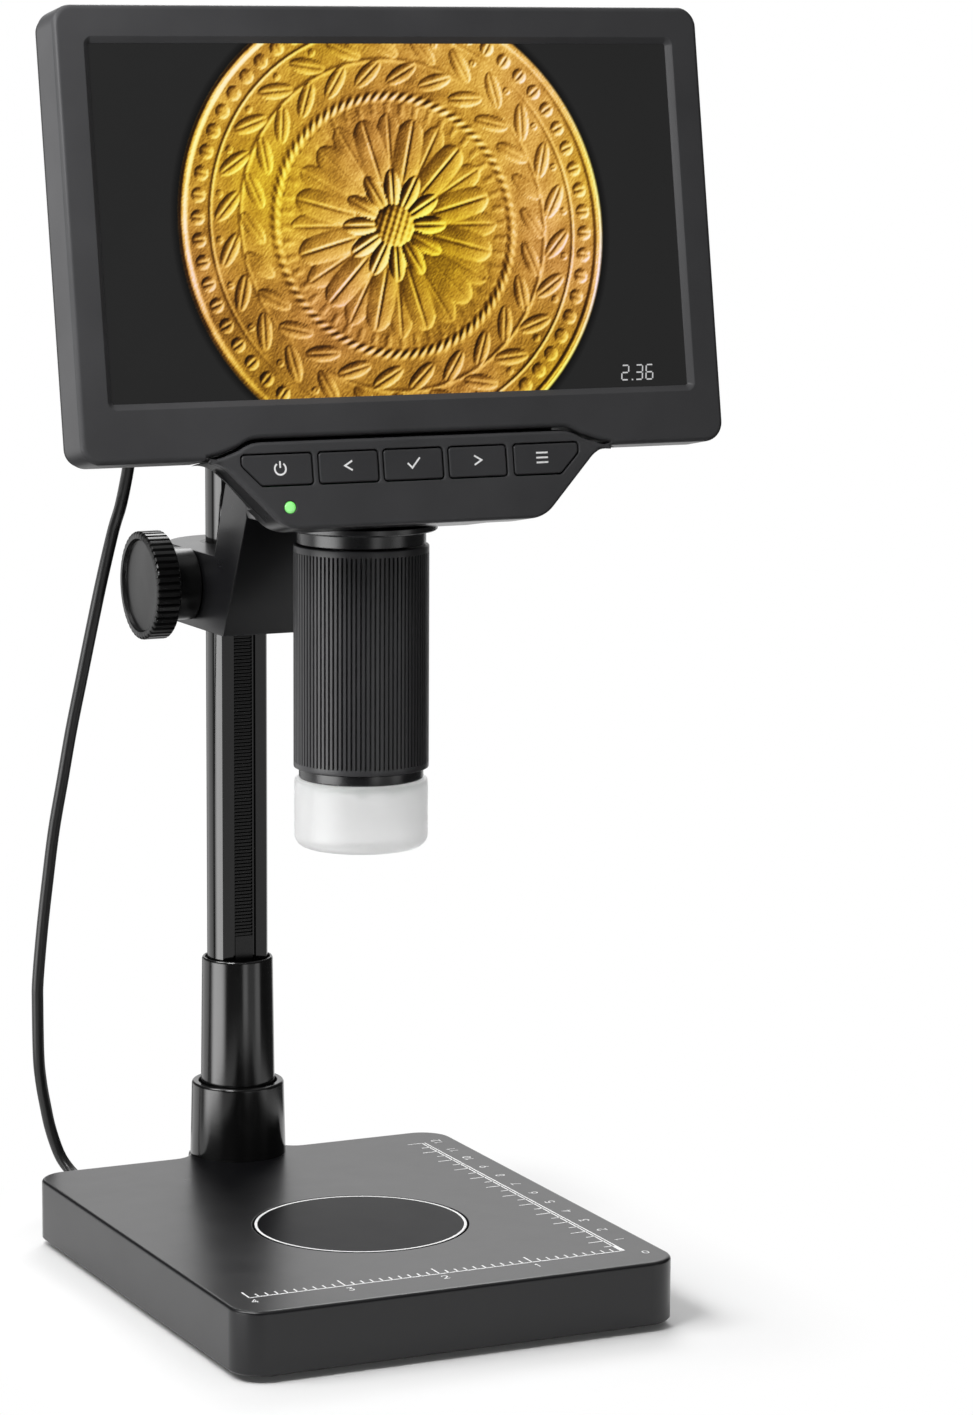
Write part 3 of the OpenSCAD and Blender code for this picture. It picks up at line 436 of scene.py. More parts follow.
def rounded_steps(radius, count=5):
    """(inset, depth) pairs round an edge of that radius, from the side to the face."""
    turns = [math.pi / 2 * i / count for i in range(count + 1)]
    return [(radius * (1 - math.cos(a)), radius * (1 - math.sin(a))) for a in turns]


def stack(loops):
    """Vertices and side faces of loops of equal length, joined one to the next."""
    n = len(loops[0])
    verts = [p for loop in loops for p in loop]
    faces = []
    for k in range(len(loops) - 1):
        for i in range(n):
            j = (i + 1) % n
            faces.append((k * n + i, k * n + j, (k + 1) * n + j, (k + 1) * n + i))
    return verts, faces


def joined(forms):
    verts, faces = [], []
    for more_verts, more_faces in forms:
        faces += [tuple(i + len(verts) for i in face) for face in more_faces]
        verts += more_verts
    return verts, faces


def fill_between(outer, holes=()):
    """Triangles that fill a flat outline with holes, as indices into outer + all holes."""
    loops = [[Vector((x, y, 0)) for x, y in loop] for loop in [outer, *holes]]
    points = [p for loop in loops for p in loop]
    faces = []
    for a, b, c in tessellate_polygon(loops):
        turn = (points[b] - points[a]).cross(points[c] - points[a]).z
        if abs(turn) > 1e-9:
            faces.append((a, b, c) if turn > 0 else (a, c, b))
    return faces


def arc(centre, r, a0, a1, n):
    """Points on an arc from the angle a0 to a1, in degrees."""
    angles = [math.radians(a0 + (a1 - a0) * i / n) for i in range(n + 1)]
    return [(centre[0] + r * math.cos(a), centre[1] + r * math.sin(a)) for a in angles]


def circle(centre, r, n):
    return arc(centre, r, 0, 360 - 360 / n, n - 1)


def levels(outline, steps, way=1):
    """The outline at each step (inset, depth), moved inwards, or outwards where the way is -1."""
    return [[(x, y, depth) for x, y in offset(outline, way * inset)] for inset, depth in steps]


def flat(loop):
    return [(p[0], p[1]) for p in loop]


def moulded(outline, steps, holes=(), hole_steps=(), through=True):
    """A moulded form between a back and a front face: steps are (inset, depth) of the outline from the
    back round to the front, hole_steps the same for its holes from the front to the back."""
    loops = levels(outline, steps)
    wells = [levels(hole, hole_steps, -1) for hole in holes]
    verts, faces = joined([stack(loops), *(stack(well) for well in wells)])
    n = len(outline)
    at = n * len(loops)
    back, front = list(range(n)), list(range(at - n, at))
    for well in wells:
        m = len(well[0])
        front += range(at, at + m)
        at += m * len(well)
        back += range(at - m, at)
    back_holes = [flat(well[-1]) for well in wells] if through else []
    for tri in fill_between(flat(loops[-1]), [flat(well[0]) for well in wells]):
        faces.append(tuple(front[i] for i in tri))
    for tri in fill_between(flat(loops[0]), back_holes):
        faces.append(tuple(back[i] for i in reversed(tri)))
    return verts, faces


def on_screen(form):
    """A moulded form (u, v, depth) turned into the screen's frame (u, depth, v)."""
    verts, faces = form
    return [(u, w, v) for u, v, w in verts], faces


def shifted(points, du, dv):
    return [(x + du, y + dv) for x, y in points]


def dressed(node, width):
    """A CAD node's own form with its facets joined, its edges broken and its round faces smooth."""
    weld, facet_angle, edge_angle = 2e-6, 0.6, 40
    mesh = bmesh.new()
    mesh.from_mesh(NODES[node].data)
    bmesh.ops.remove_doubles(mesh, verts=mesh.verts, dist=weld)
    bmesh.ops.dissolve_limit(mesh, angle_limit=math.radians(facet_angle), verts=mesh.verts, edges=mesh.edges)
    verts = [tuple(v.co) for v in mesh.verts]
    faces = [tuple(v.index for v in f.verts) for f in mesh.faces]
    mesh.free()
    obj = stands_for(node, (verts, faces), Matrix.Identity(4))
    bevel = obj.modifiers.new("edge", "BEVEL")
    bevel.width = width * MM
    bevel.segments = 2
    bevel.limit_method = "ANGLE"
    bevel.angle_limit = math.radians(edge_angle)
    bevel.use_clamp_overlap = True
    obj.modifiers.move(obj.modifiers.find("edge"), 0)


# the radius at which a lathe form closes on its axis
AXIS = 0.01


def revolve(profile, segments, centre, ribs=None):
    """A lathe form: profile is (radius, height) pairs; ribs(angle, radius, height) may change the radius."""
    loops = []
    for r, z in profile:
        loop = []
        for i in range(segments):
            angle = 2 * math.pi * i / segments
            rr = ribs(angle, r, z) if ribs else r
            loop.append((centre[0] + rr * math.cos(angle), centre[1] + rr * math.sin(angle), z))
        loops.append(loop)
    return stack(loops)


def turned(node, profile, centre, segments=128, ribs=None, place=UPRIGHT):
    """A lathe form in place of a CAD node."""
    stands_for(node, revolve(profile, segments, centre, ribs), place)


# ---- screen head: bezel and panel
SEAM = 0.9
NOTCH_U = 40.0
NOTCH_V = -52.3
SHOULDER_U = 54.0
BEZEL_HALF = 86.0
BEZEL_LOW = -57.3
BEZEL_HIGH = 52.15
BEZEL_CORNER = 5
PANEL_LOW = -74.6
PANEL_FOOT_U = 30.6
BEZEL_DEPTH = 12.0
PANEL_DEPTH = 2.5


def seam_half(d):
    """Right half of the seam between display and panel, at a distance d below it."""
    bend_r = 10
    return [(NOTCH_U, NOTCH_V - d), *arc((NOTCH_U, NOTCH_V - bend_r - d), bend_r, 80, 55, 5),
            (SHOULDER_U - 4, NOTCH_V - 3.3 - d), (SHOULDER_U, BEZEL_LOW + 0.8 - d)]


def mirrored(points):
    return [(-x, y) for x, y in reversed(points)]


def bezel_outline():
    half = [*seam_half(0), (SHOULDER_U + 0.3, BEZEL_LOW)]
    edge, inner = BEZEL_HALF, BEZEL_HALF - 30
    right = fillet_outline([(inner, BEZEL_LOW, 0), (edge, BEZEL_LOW, BEZEL_CORNER),
                            (edge, BEZEL_HIGH, BEZEL_CORNER), (inner, BEZEL_HIGH, 0)], 9)
    return [*mirrored(half), *half, *right, *mirrored(right)]


def panel_outline():
    foot_r, flare_r, slope = 9, 8, 43.8
    foot = arc((PANEL_FOOT_U, PANEL_LOW + foot_r), foot_r, -90, -slope, 8)
    flare = arc((SHOULDER_U + 0.1, PANEL_LOW + 8.9), flare_r, 180 - slope, 92, 8)
    half = [*foot, *flare, (SHOULDER_U + 1, BEZEL_LOW - 0.55), *reversed(seam_half(SEAM))]
    return [*half, *mirrored(half)]


def make_bezel():
    u, v, corner = SCREEN_W / 2, SCREEN_H / 2, 0.6
    aperture = fillet_outline([(-u, -v, corner), (u, -v, corner), (u, v, corner), (-u, v, corner)], 9)
    back_edge = 0.6
    side = [(back_edge, BEZEL_DEPTH), (0.0, BEZEL_DEPTH - back_edge), *rounded_steps(1.3)]
    lip = [(1.6, 0.0), (1.45, 0.08), (0.05, 1.2), (0.0, 1.3), (0.0, 1.5)]
    form = moulded(bezel_outline(), side, [aperture], lip)
    stands_for("display_bezel", on_screen(form), DISPLAY)


# left and right edge of each button, which side is cut slanting, and the middle of its symbol
BUTTONS = {
    "power": (-45.45, -27.2, -1, -35.6),
    "left": (-25.36, -9.76, 0, -17.6),
    "ok": (-8.16, 7.54, 0, -0.3),
    "right": (9.29, 24.77, 0, 17.0),
    "menu": (26.98, 44.65, 1, 34.6),
}
BUTTON_HIGH = -56.3
BUTTON_LOW = -63.75
BUTTON_SLANT = 5.0
BUTTON_GAP = 0.35


def button_outline(name):
    u0, u1, slant, _ = BUTTONS[name]
    spots = ((u0, BUTTON_LOW), (u1, BUTTON_LOW), (u1, BUTTON_HIGH), (u0, BUTTON_HIGH))
    corners = [(u, v, 0.8) for u, v in spots]
    if slant < 0:
        corners[0:1] = [(u0, BUTTON_LOW + BUTTON_SLANT, 1.6), (u0 + BUTTON_SLANT, BUTTON_LOW, 1.2)]
    if slant > 0:
        corners[1:2] = [(u1 - BUTTON_SLANT, BUTTON_LOW, 1.2), (u1, BUTTON_LOW + BUTTON_SLANT, 1.6)]
    return fillet_outline(corners, 15)


LAMP_AT = (-33.6, -69.2)
LAMP_R = 1.5


def make_panel():
    wells = [offset(button_outline(name), -BUTTON_GAP) for name in BUTTONS]
    wells.append(circle(LAMP_AT, LAMP_R + 0.08, 32))
    side = [(0.0, PANEL_DEPTH), *rounded_steps(0.9)]
    hole = [(0.22, 0.0), (0.07, 0.06), (0.0, 0.22), (0.0, 2.4)]
    form = moulded(panel_outline(), side, wells, hole)
    stands_for("control_panel", on_screen(form), DISPLAY)


def stroke(points, width, closed=False):
    """A flat band of that width along a line of points, as quads."""
    pts = [Vector(p) for p in points]
    n = len(pts)
    left, right = [], []
    for i, p in enumerate(pts):
        before = pts[i - 1] if closed or i else p - (pts[1] - p)
        after = pts[(i + 1) % n] if closed or i < n - 1 else p + (p - pts[i - 1])
        a, b = (p - before).normalized(), (after - p).normalized()
        side = Vector((-(a + b).y, (a + b).x)).normalized()
        reach = width / 2 / max(0.5, side.dot(Vector((-a.y, a.x))))
        left.append(tuple(p + side * reach))
        right.append(tuple(p - side * reach))
    rows = range(n if closed else n - 1)
    faces = [(n + i, n + (i + 1) % n, (i + 1) % n, i) for i in rows]
    return left + right, faces


def marks(name, parts, depth, slot, body, paint):
    """Flat marks at a depth behind the face of the screen's frame, printed or lit."""
    verts, faces = joined(parts)
    piece(name, [(u, depth, v) for u, v in verts], faces, slot, body, DISPLAY, paint=paint)


SYMBOL_W = 0.45
SYMBOLS = {
    "power": [arc((0, -0.1), 1.45, 125, 415, 20), [(0, 0.1), (0, 1.75)]],
    "left": [[(0.95, 1.15), (-1.0, 0), (0.95, -1.15)]],
    "ok": [[(-1.6, 0.0), (-0.45, -1.2), (1.7, 1.25)]],
    "right": [[(-0.95, 1.15), (1.0, 0), (-0.95, -1.15)]],
    "menu": [[(-1.6, h), (1.6, h)] for h in (-1.2, 0.0, 1.2)],
}
SYMBOL_V = -59.7
# the buttons' faces lie this far behind the panel's, and the symbols just in front of them
BUTTON_FACE = 0.1
SYMBOL_DEPTH = 0.085


def make_buttons():
    steps = [(0.0, 2.6), *((inset, depth + BUTTON_FACE) for inset, depth in rounded_steps(0.45))]
    for name, (_, _, _, middle) in BUTTONS.items():
        stands_for(name + "_button", on_screen(moulded(button_outline(name), steps)), DISPLAY)
        lines = [stroke(shifted(line, middle, SYMBOL_V), SYMBOL_W) for line in SYMBOLS[name]]
        marks(name + "_symbol", lines, SYMBOL_DEPTH, "button_grey", name + "_key", "white_print")


def make_lamp():
    r, stem_r, rim, tall = LAMP_R, LAMP_R - 0.2, 0.35, 0.5
    top = [(r * math.cos(a), rim - tall * math.sin(a)) for a in (0.3, 0.6, 0.9, 1.2, 1.45)]
    profile = [(stem_r, 4.4), (stem_r, 2.4), (r, 2.2), (r, rim), *top, (AXIS, rim - tall)]
    stands_for("status_light", on_screen(revolve(profile, 32, LAMP_AT)), DISPLAY)


make_bezel()
make_panel()
make_buttons()
make_lamp()


# ---- the lit screen
DISC_CENTRE = (-0.5, -1.5)
DISC_R = 56.6
RIM_FROM_R = 54.3
PICTURE_STEP = 0.3
PICTURE_DEPTH = 1.42
READOUT_DEPTH = 1.40
# rings of the struck design: height, count, radius, half length, half width, turn, lean
LEAVES = [
    (1.0, 60, 51.6, 1.75, 1.75, 0.0, 0.0),
    (0.9, 26, 44.0, 4.6, 1.9, 0.0, 0.95),
    (0.9, 26, 37.4, 4.6, 1.9, 0.12, -0.95),
    (0.55, 26, 46.3, 0.9, 0.9, 0.06, 0.0),
]
# its raised lines: height, radius, half width
LINES = [(0.5, 48.4, 0.35), (0.35, 40.6, 0.5)]
CORD_AT = 31.6
FLUTES_FROM = 26.5
FLUTES_TO = 30.2
BOSS_R = 5.2


def bulge(x, y, a, b):
    """Height, 0 to 1, of half an egg with the half lengths a and b."""
    return np.sqrt(np.clip(1 - (x / a) ** 2 - (y / b) ** 2, 0, None))


def ridge(d, width):
    return np.exp(-((d / width) ** 2))


def climb(r, start, width):
    """0 up to start, and 1 from a width beyond it."""
    return np.clip((r - start) / width, 0, 1)


def petals(r, angle, count, at, long, wide, turn=0.0, lean=0.0):
    """A ring of count leaves or petals, each a bulge with a groove along its middle."""
    best = np.zeros_like(r)
    sector = 2 * np.pi / count
    c, s = math.cos(lean), math.sin(lean)
    for near in (-1, 0, 1):
        local = np.mod(angle + turn, sector) - sector / 2 + near * sector
        x = r * np.cos(local) - at
        y = r * np.sin(local)
        along, across = c * x + s * y, -s * x + c * y
        leaf = bulge(along, across, long, wide)
        best = np.maximum(best, leaf * (1 - 0.45 * ridge(across, 0.35)))
    return best


def medal_relief(u, v):
    """Height of the struck design: rim, beads, rings of leaves, a twisted cord and a rosette."""
    r = np.hypot(u, v)
    angle = np.arctan2(v, u)
    height = 1.1 * climb(r, RIM_FROM_R, 0.8) - 1.3 * climb(r, DISC_R - 0.6, 0.6)
    for tall, count, at, long, wide, turn, lean in LEAVES:
        height += tall * petals(r, angle, count, at, long, wide, turn, lean)
    for tall, at, half in LINES:
        height += tall * ridge(r - at, half)
    twist = 0.6 + 0.4 * np.sin(84 * angle + 2.2 * (r - CORD_AT))
    height += ridge(r - CORD_AT, 0.95) * twist
    flutes = climb(r, FLUTES_FROM, 1.2) * (1 - climb(r, FLUTES_TO - 0.6, 0.6))
    height += 0.25 * np.cos(48 * angle) * flutes
    outer = petals(r, angle, 12, 18.6, 8.0, 4.3)
    under = petals(r, angle, 12, 20.4, 7.2, 3.4, math.pi / 12)
    inner = petals(r, angle, 12, 9.2, 4.6, 2.1, math.pi / 12)
    height += np.maximum(1.5 * outer, 0.9 * under)
    height += np.maximum(0, 2.4 * inner - 0.6 * height)
    boss = bulge(u, v, BOSS_R, BOSS_R)
    seeds = 0.3 * np.cos(2.6 * u + 1.1 * v) * np.cos(2.6 * v - 1.1 * u) * climb(boss, 0, 0.5)
    return np.maximum(height, 3.0 * boss) + seeds


def cloud(u, v, scale, seed):
    """Smooth patches between -1 and 1, from sums of slow waves."""
    waves = np.random.default_rng(seed)
    total = np.zeros_like(u)
    for _ in range(9):
        a, phase, k = waves.uniform(0, 6.28), waves.uniform(0, 6.28), waves.uniform(0.5, 1.7) / scale
        total += np.sin(k * (u * math.cos(a) + v * math.sin(a)) + phase)
    return total / 4.5


def to_linear(c):
    """Display colours, 0 to 1, as light."""
    return np.where(c <= 0.04045, c / 12.92, ((c + 0.055) / 1.055) ** 2.4)


# the gold's colour from its darkest to its brightest level
GOLD = [(0.0, (0.13, 0.07, 0.02)), (0.25, (0.42, 0.27, 0.06)), (0.5, (0.76, 0.57, 0.20)),
        (0.72, (0.95, 0.80, 0.38)), (1.0, (1.0, 0.98, 0.78))]


def paint_picture(u, v):
    """Colour of the lit screen at (u, v): a struck gold disc on a dark ground."""
    du, dv = u - DISC_CENTRE[0], v - DISC_CENTRE[1]
    r = np.hypot(du, dv)
    grain = np.random.default_rng(3).normal(0, 1, u.shape)
    height = medal_relief(du, dv) + 0.03 * grain
    height += 0.25 * cloud(du, dv, 3.2, 5) + 0.10 * cloud(du, dv, 0.9, 8)
    gv, gu = np.gradient(height, PICTURE_STEP)
    slope = (gv * 0.66 - gu * 0.75) * 1.15
    level = 0.50 + 0.55 * slope / np.sqrt(1 + slope ** 2) + 0.10 * cloud(du, dv, 14, 2) + 0.025 * grain
    level += 0.10 * cloud(du, dv, 1.6, 21) * np.clip(cloud(du, dv, 7, 22), 0, 1)
    level = np.clip(level + 0.25 * ridge(r - 55.3, 0.5), 0, 1)
    stops = [s for s, _ in GOLD]
    colour = np.stack([np.interp(level, stops, [c[i] for _, c in GOLD]) for i in range(3)], -1)
    warm = 0.5 + 0.5 * cloud(du, dv, 11, 12)
    colour *= np.stack([np.ones_like(warm), 0.93 + 0.09 * warm, 1.25 - 0.65 * warm], -1)
    outside = climb(r, DISC_R - 0.25, 0.5)[..., None]
    ground = 0.145 * (0.35 + 0.65 * climb(r, DISC_R, 2.2)[..., None])
    return to_linear(np.clip(colour, 0, 1) * (1 - outside) + ground * outside)


def make_picture():
    """A thin lit sheet behind the aperture, painted by formula."""
    nu, nv = int(SCREEN_W / PICTURE_STEP) + 1, int(SCREEN_H / PICTURE_STEP) + 1
    us = np.linspace(-SCREEN_W / 2, SCREEN_W / 2, nu)
    vs = np.linspace(-SCREEN_H / 2, SCREEN_H / 2, nv)
    u, v = np.meshgrid(us, vs)
    spots = np.stack([u, np.full_like(u, PICTURE_DEPTH), v], -1).reshape(-1, 3)
    faces = [(j * nu + i, j * nu + i + 1, (j + 1) * nu + i + 1, (j + 1) * nu + i)
             for j in range(nv - 1) for i in range(nu - 1)]
    sheet = piece("lit_screen", spots.tolist(), faces, "screen", "display", DISPLAY, paint="lit_screen")
    paint = sheet.data.color_attributes.new(PAINT_LAYER, "FLOAT_COLOR", "POINT")
    rgba = np.ones((nu * nv, 4), dtype=np.float32)
    rgba[:, :3] = paint_picture(u, v).reshape(-1, 3)
    paint.data.foreach_set("color", rgba.ravel())


# which of its seven bars a numeral lights: top, top left, top right, middle, low left, low right, bottom
BARS = {"2": "1011101", "3": "1011011", "6": "1101111"}
READOUT_AT = (58.8, -41.1)
READOUT_H = 3.6
READOUT_STROKE = 0.34
READOUT_LEAN = 0.10
# each numeral and how far along the number it starts, and the point between the first two
READOUT = (("2", 0.0), ("3", 3.9), ("6", 6.8))
POINT = [(2.8, 0), (3.2, 0)]


def seven_segment(digit, start):
    """The lit bars of a numeral, leaning a little, with a gap at their ends."""
    h, w, m = READOUT_H, READOUT_H * 0.52, READOUT_H / 2
    ends = [((0, h), (w, h)), ((0, m), (0, h)), ((w, m), (w, h)), ((0, m), (w, m)),
            ((0, 0), (0, m)), ((w, 0), (w, m)), ((0, 0), (w, 0))]
    bars = []
    for lit, (a, b) in zip(BARS[digit], ends):
        if lit == "1":
            a, b = Vector(a), Vector(b)
            gap = (b - a).normalized() * READOUT_STROKE * 0.55
            lean = [(p.x + READOUT_LEAN * p.y + start, p.y) for p in (a + gap, b - gap)]
            bars.append(stroke(shifted(lean, *READOUT_AT), READOUT_STROKE))
    return bars


def make_readout():
    parts = [bar for digit, start in READOUT for bar in seven_segment(digit, start)]
    parts.append(stroke(shifted(POINT, *READOUT_AT), READOUT_STROKE))
    marks("readout", parts, READOUT_DEPTH, "screen", "display", "lit_white")


make_picture()
make_readout()


# ---- base, its pan and its scales
BASE_CORNER = 8.5
LOBE_R = 13.5
NECK_R = 6.0
PAN_GAP = 0.35
RING_RADII = (27.25, 26.55)
# print stands this far above the face that it is on
PRINT_RISE = 0.02


def base_outline():
    """The base from above: a rounded plate, and a lobe round the column that flows into its back."""
    side = BASE_W / 2
    neck_y = BASE_BACK + NECK_R - COLUMN_Y
    neck_x = math.sqrt((LOBE_R + NECK_R) ** 2 - neck_y ** 2)
    meet = math.degrees(math.atan2(neck_y, neck_x))
    front = fillet_outline([(-side, BASE_BACK - 30, 0), (-side, BASE_FRONT, BASE_CORNER),
                            (side, BASE_FRONT, BASE_CORNER), (side, BASE_BACK, BASE_CORNER),
                            (neck_x + 4, BASE_BACK, 0)], 7)
    neck = arc((neck_x, BASE_BACK + NECK_R), NECK_R, 270, 180 + meet, 6)
    lobe = arc(COLUMN_AT, LOBE_R, meet, 180 - meet, 24)[1:-1]
    left = fillet_outline([(-neck_x - 4, BASE_BACK, 0), (-side, BASE_BACK, BASE_CORNER),
                           (-side, BASE_BACK - 20, 0)], 7)
    return [*front, *neck, *lobe, *mirrored(neck), *left]


def make_base():
    """The base housing, closed below, with the pan's well in its top."""
    steps = [(0.5, BASE_UNDER), (0.0, BASE_UNDER + 0.5)]
    steps += [(inset, BASE_TOP - depth) for inset, depth in rounded_steps(0.9)]
    wall = [(0.15, BASE_TOP), (0.04, BASE_TOP - 0.04), (0.0, BASE_TOP - 0.2), (0.0, BASE_TOP - 2.6)]
    well = circle(OPTIC_AT, PAN_R + PAN_GAP, 128)
    stands_for("base_housing", moulded(base_outline(), steps, [well], wall, through=False))


def make_pan():
    """The weighing pan, and the ring printed on it."""
    r, top = PAN_R, BASE_TOP
    profile = [(AXIS, top - 1.6), (r - 0.2, top - 1.6), (r, top - 1.4), (r, top - 0.3),
               (r - 0.1, top - 0.1), (r - 0.3, top), (AXIS, top)]
    turned("weighing_pan", profile, OPTIC_AT)
    ring_loops = [circle(OPTIC_AT, ring_r, 144) for ring_r in RING_RADII]
    verts, faces = stack([[(x, y, top + PRINT_RISE) for x, y in loop] for loop in ring_loops])
    piece("pan_ring", verts, faces, "pan_black", "stand", paint="white_print")


# the numerals from 0 to 9, as strokes in a box one wide and 1.5 high; those of 0 and 8 are closed
NUMERALS = [
    [arc((0.5, 0.95), 0.45, 0, 180, 6) + arc((0.5, 0.55), 0.45, 180, 360, 6)],
    [[(0.2, 1.2), (0.55, 1.5), (0.55, 0)]],
    [arc((0.5, 1.05), 0.45, 170, -30, 7) + [(0.05, 0), (0.98, 0)]],
    [[(0.08, 1.5), (0.9, 1.5), (0.45, 0.9)] + arc((0.45, 0.45), 0.45, 80, -160, 7)],
    [[(0.72, 0), (0.72, 1.5), (0.02, 0.45), (1.0, 0.45)]],
    [[(0.9, 1.5), (0.15, 1.5), (0.1, 0.85)] + arc((0.45, 0.48), 0.48, 110, -150, 7)],
    [[(0.75, 1.5), (0.1, 0.7)] + arc((0.5, 0.46), 0.46, 150, 480, 10)],
    [[(0.05, 1.5), (0.95, 1.5), (0.35, 0)]],
    [arc((0.5, 1.12), 0.36, 0, 330, 9), arc((0.5, 0.42), 0.42, 0, 330, 9)],
    [[(0.25, 0), (0.9, 0.8)] + arc((0.5, 1.04), 0.46, -30, 300, 10)],
]
SCALE_X = 49.5
SCALE_Y = -69.0
INCH = 25.4
RULE_W = 0.45
NUMERAL_H = 2.4
NUMERAL_STROKE = 0.34


def numeral(number, x, y, up):
    """The strokes of a number on the base's top, about (x, y); up says which way it reads."""
    size = NUMERAL_H / 1.5
    pitch = 1.25 * size
    text = str(number)
    span = len(text) * pitch - 0.25 * size
    parts = []
    for k, digit in enumerate(text):
        for line in NUMERALS[int(digit)]:
            points = []
            for u, v in line:
                a = u * size + k * pitch - span / 2
                b = v * size - NUMERAL_H / 2
                points.append((x + up[1] * a + up[0] * b, y - up[0] * a + up[1] * b))
            parts.append(stroke(points, NUMERAL_STROKE, digit in "08"))
    return parts


def make_scales():
    """An inch scale along the front and a centimetre scale along the right, printed on the base."""
    parts = [stroke([(SCALE_X - 4 * INCH, SCALE_Y), (SCALE_X, SCALE_Y)], 0.5)]
    for tenth in range(41):
        x = SCALE_X - tenth * INCH / 10
        length = 5.0 if tenth % 10 == 0 else 2.6
        parts.append(stroke([(x, SCALE_Y), (x, SCALE_Y + length)], RULE_W))
    for inch in range(1, 5):
        parts += numeral(inch, SCALE_X - inch * INCH, SCALE_Y - 3.2, (0, 1))
    for x in (SCALE_X - RULE_W, SCALE_X + RULE_W):
        parts.append(stroke([(x, SCALE_Y), (x, SCALE_Y + 120)], RULE_W))
    for half in range(1, 25):
        y = SCALE_Y + half * 5
        length = 4.7 if half % 2 == 0 else 2.8
        parts.append(stroke([(SCALE_X, y), (SCALE_X - length, y)], RULE_W))
    for cm in range(1, 13):
        parts += numeral(cm, SCALE_X + 4.2, SCALE_Y + cm * 10, (-1, 0))
    parts += numeral(0, SCALE_X + 4.6, SCALE_Y - 3.4, (0, 1))
    verts, faces = joined(parts)
    spots = [(x, y, BASE_TOP + PRINT_RISE) for x, y in verts]
    piece("scale_print", spots, faces, "satin_black_plastic", "stand", paint="white_print")


make_base()
make_pan()
make_scales()


# ---- column and collars
COLUMN_R = 8.2
COLUMN_FROM = 5.0
COLUMN_TOP = 250.0
# the flat on the column's front, and the slot for the rack in it, from the column's axis
FLAT_Y = -5.2
SLOT_LIP_Y = -4.5
SLOT_FLOOR_Y = -2.4
SLOT_MOUTH = 3.3
SLOT_HALF = 2.6
SLOT_FROM = 70.6
BOLT_HOLE_R = 2.65
LOWER_COLLAR_TOP = 38.0
UPPER_COLLAR_TOP = 72.4
CAP_EDGE = 2.0


def make_column():
    """The rod: round below, and with a flat and a slot above the collars."""
    start = math.degrees(math.asin(FLAT_Y / COLUMN_R))
    rounded = arc((0, 0), COLUMN_R, start, 180 - start, 96)
    groove = [(-SLOT_MOUTH, FLAT_Y), (-SLOT_MOUTH, SLOT_LIP_Y), (-SLOT_HALF, SLOT_LIP_Y),
              (-SLOT_HALF, SLOT_FLOOR_Y)]
    outline = shifted([*rounded, *groove, *mirrored(groove)], *COLUMN_AT)
    upper = moulded(outline, [(0, SLOT_FROM), (0, COLUMN_TOP)])
    profile = [(BOLT_HOLE_R, COLUMN_FROM), (COLUMN_R, COLUMN_FROM), (COLUMN_R, SLOT_FROM), (AXIS, SLOT_FROM)]
    stands_for("column_rod", joined([upper, revolve(profile, 96, COLUMN_AT)]))


def make_collars():
    """Two collars that taper upwards, each with a recess in its top, and the column's domed cap."""
    foot, top, bore, recess = BASE_TOP, LOWER_COLLAR_TOP, 10.15, 10.7
    lower = [(bore, foot), (13.0, foot), (12.55, top - 0.8), (12.5, top - 0.5), (12.35, top - 0.2),
             (12.1, top), (10.9, top), (10.72, top - 0.1), (recess, top - 0.3), (recess, top - 1.4),
             (bore, top - 1.4), (bore, foot)]
    turned("lower_collar", lower, COLUMN_AT)
    top, bore, recess = UPPER_COLLAR_TOP, 8.25, 8.8
    upper = [(bore, foot), (10.1, foot), (10.05, LOWER_COLLAR_TOP), (9.62, top - 0.7), (9.55, top - 0.3),
             (9.3, top), (8.95, top), (recess, top - 0.15), (recess, top - 1), (bore, top - 1),
             (bore, foot)]
    turned("upper_collar", upper, COLUMN_AT)
    rim, edge_r = COLUMN_TOP + 1.6, COLUMN_R - CAP_EDGE
    edge = [(edge_r + CAP_EDGE * math.cos(a), rim + CAP_EDGE * math.sin(a))
            for a in (0.3, 0.6, 0.9, 1.2, 1.5)]
    cap = [(AXIS, COLUMN_TOP), (COLUMN_R, COLUMN_TOP), (COLUMN_R, rim), *edge, (AXIS, rim + CAP_EDGE)]
    turned("column_cap", cap, COLUMN_AT, 96)


make_column()
make_collars()


# ---- arm, head and drive knobs
for node, edge_width in (("carriage_arm", 0.6), ("head_housing", 0.4), ("display_back", 0.5),
                         ("head_cover", 0.3)):
    dressed(node, edge_width)

KNOB_R = 14.25
KNOB_RIBS = 46
HUB_R = 9.6
KNOB_FROM = 18.3
RIM_FROM = 25.5
RIM_TO = 32.5


def grooved(angle, count, width):
    """Depth, 0 to 1, of narrow grooves between flat ribs; width is their share of the round."""
    phase = (count * angle / (2 * math.pi)) % 1.0
    return max(0.0, min(1.0, (width / 2 - abs(phase - 0.5)) / 0.12))


def knob_ribs(angle, r, z):
    """Flat ribs round the rim, their grooves open at its two faces."""
    if r < KNOB_R - 0.76:
        return r
    return min(r, KNOB_R - 0.7 * grooved(angle, KNOB_RIBS, 0.42))


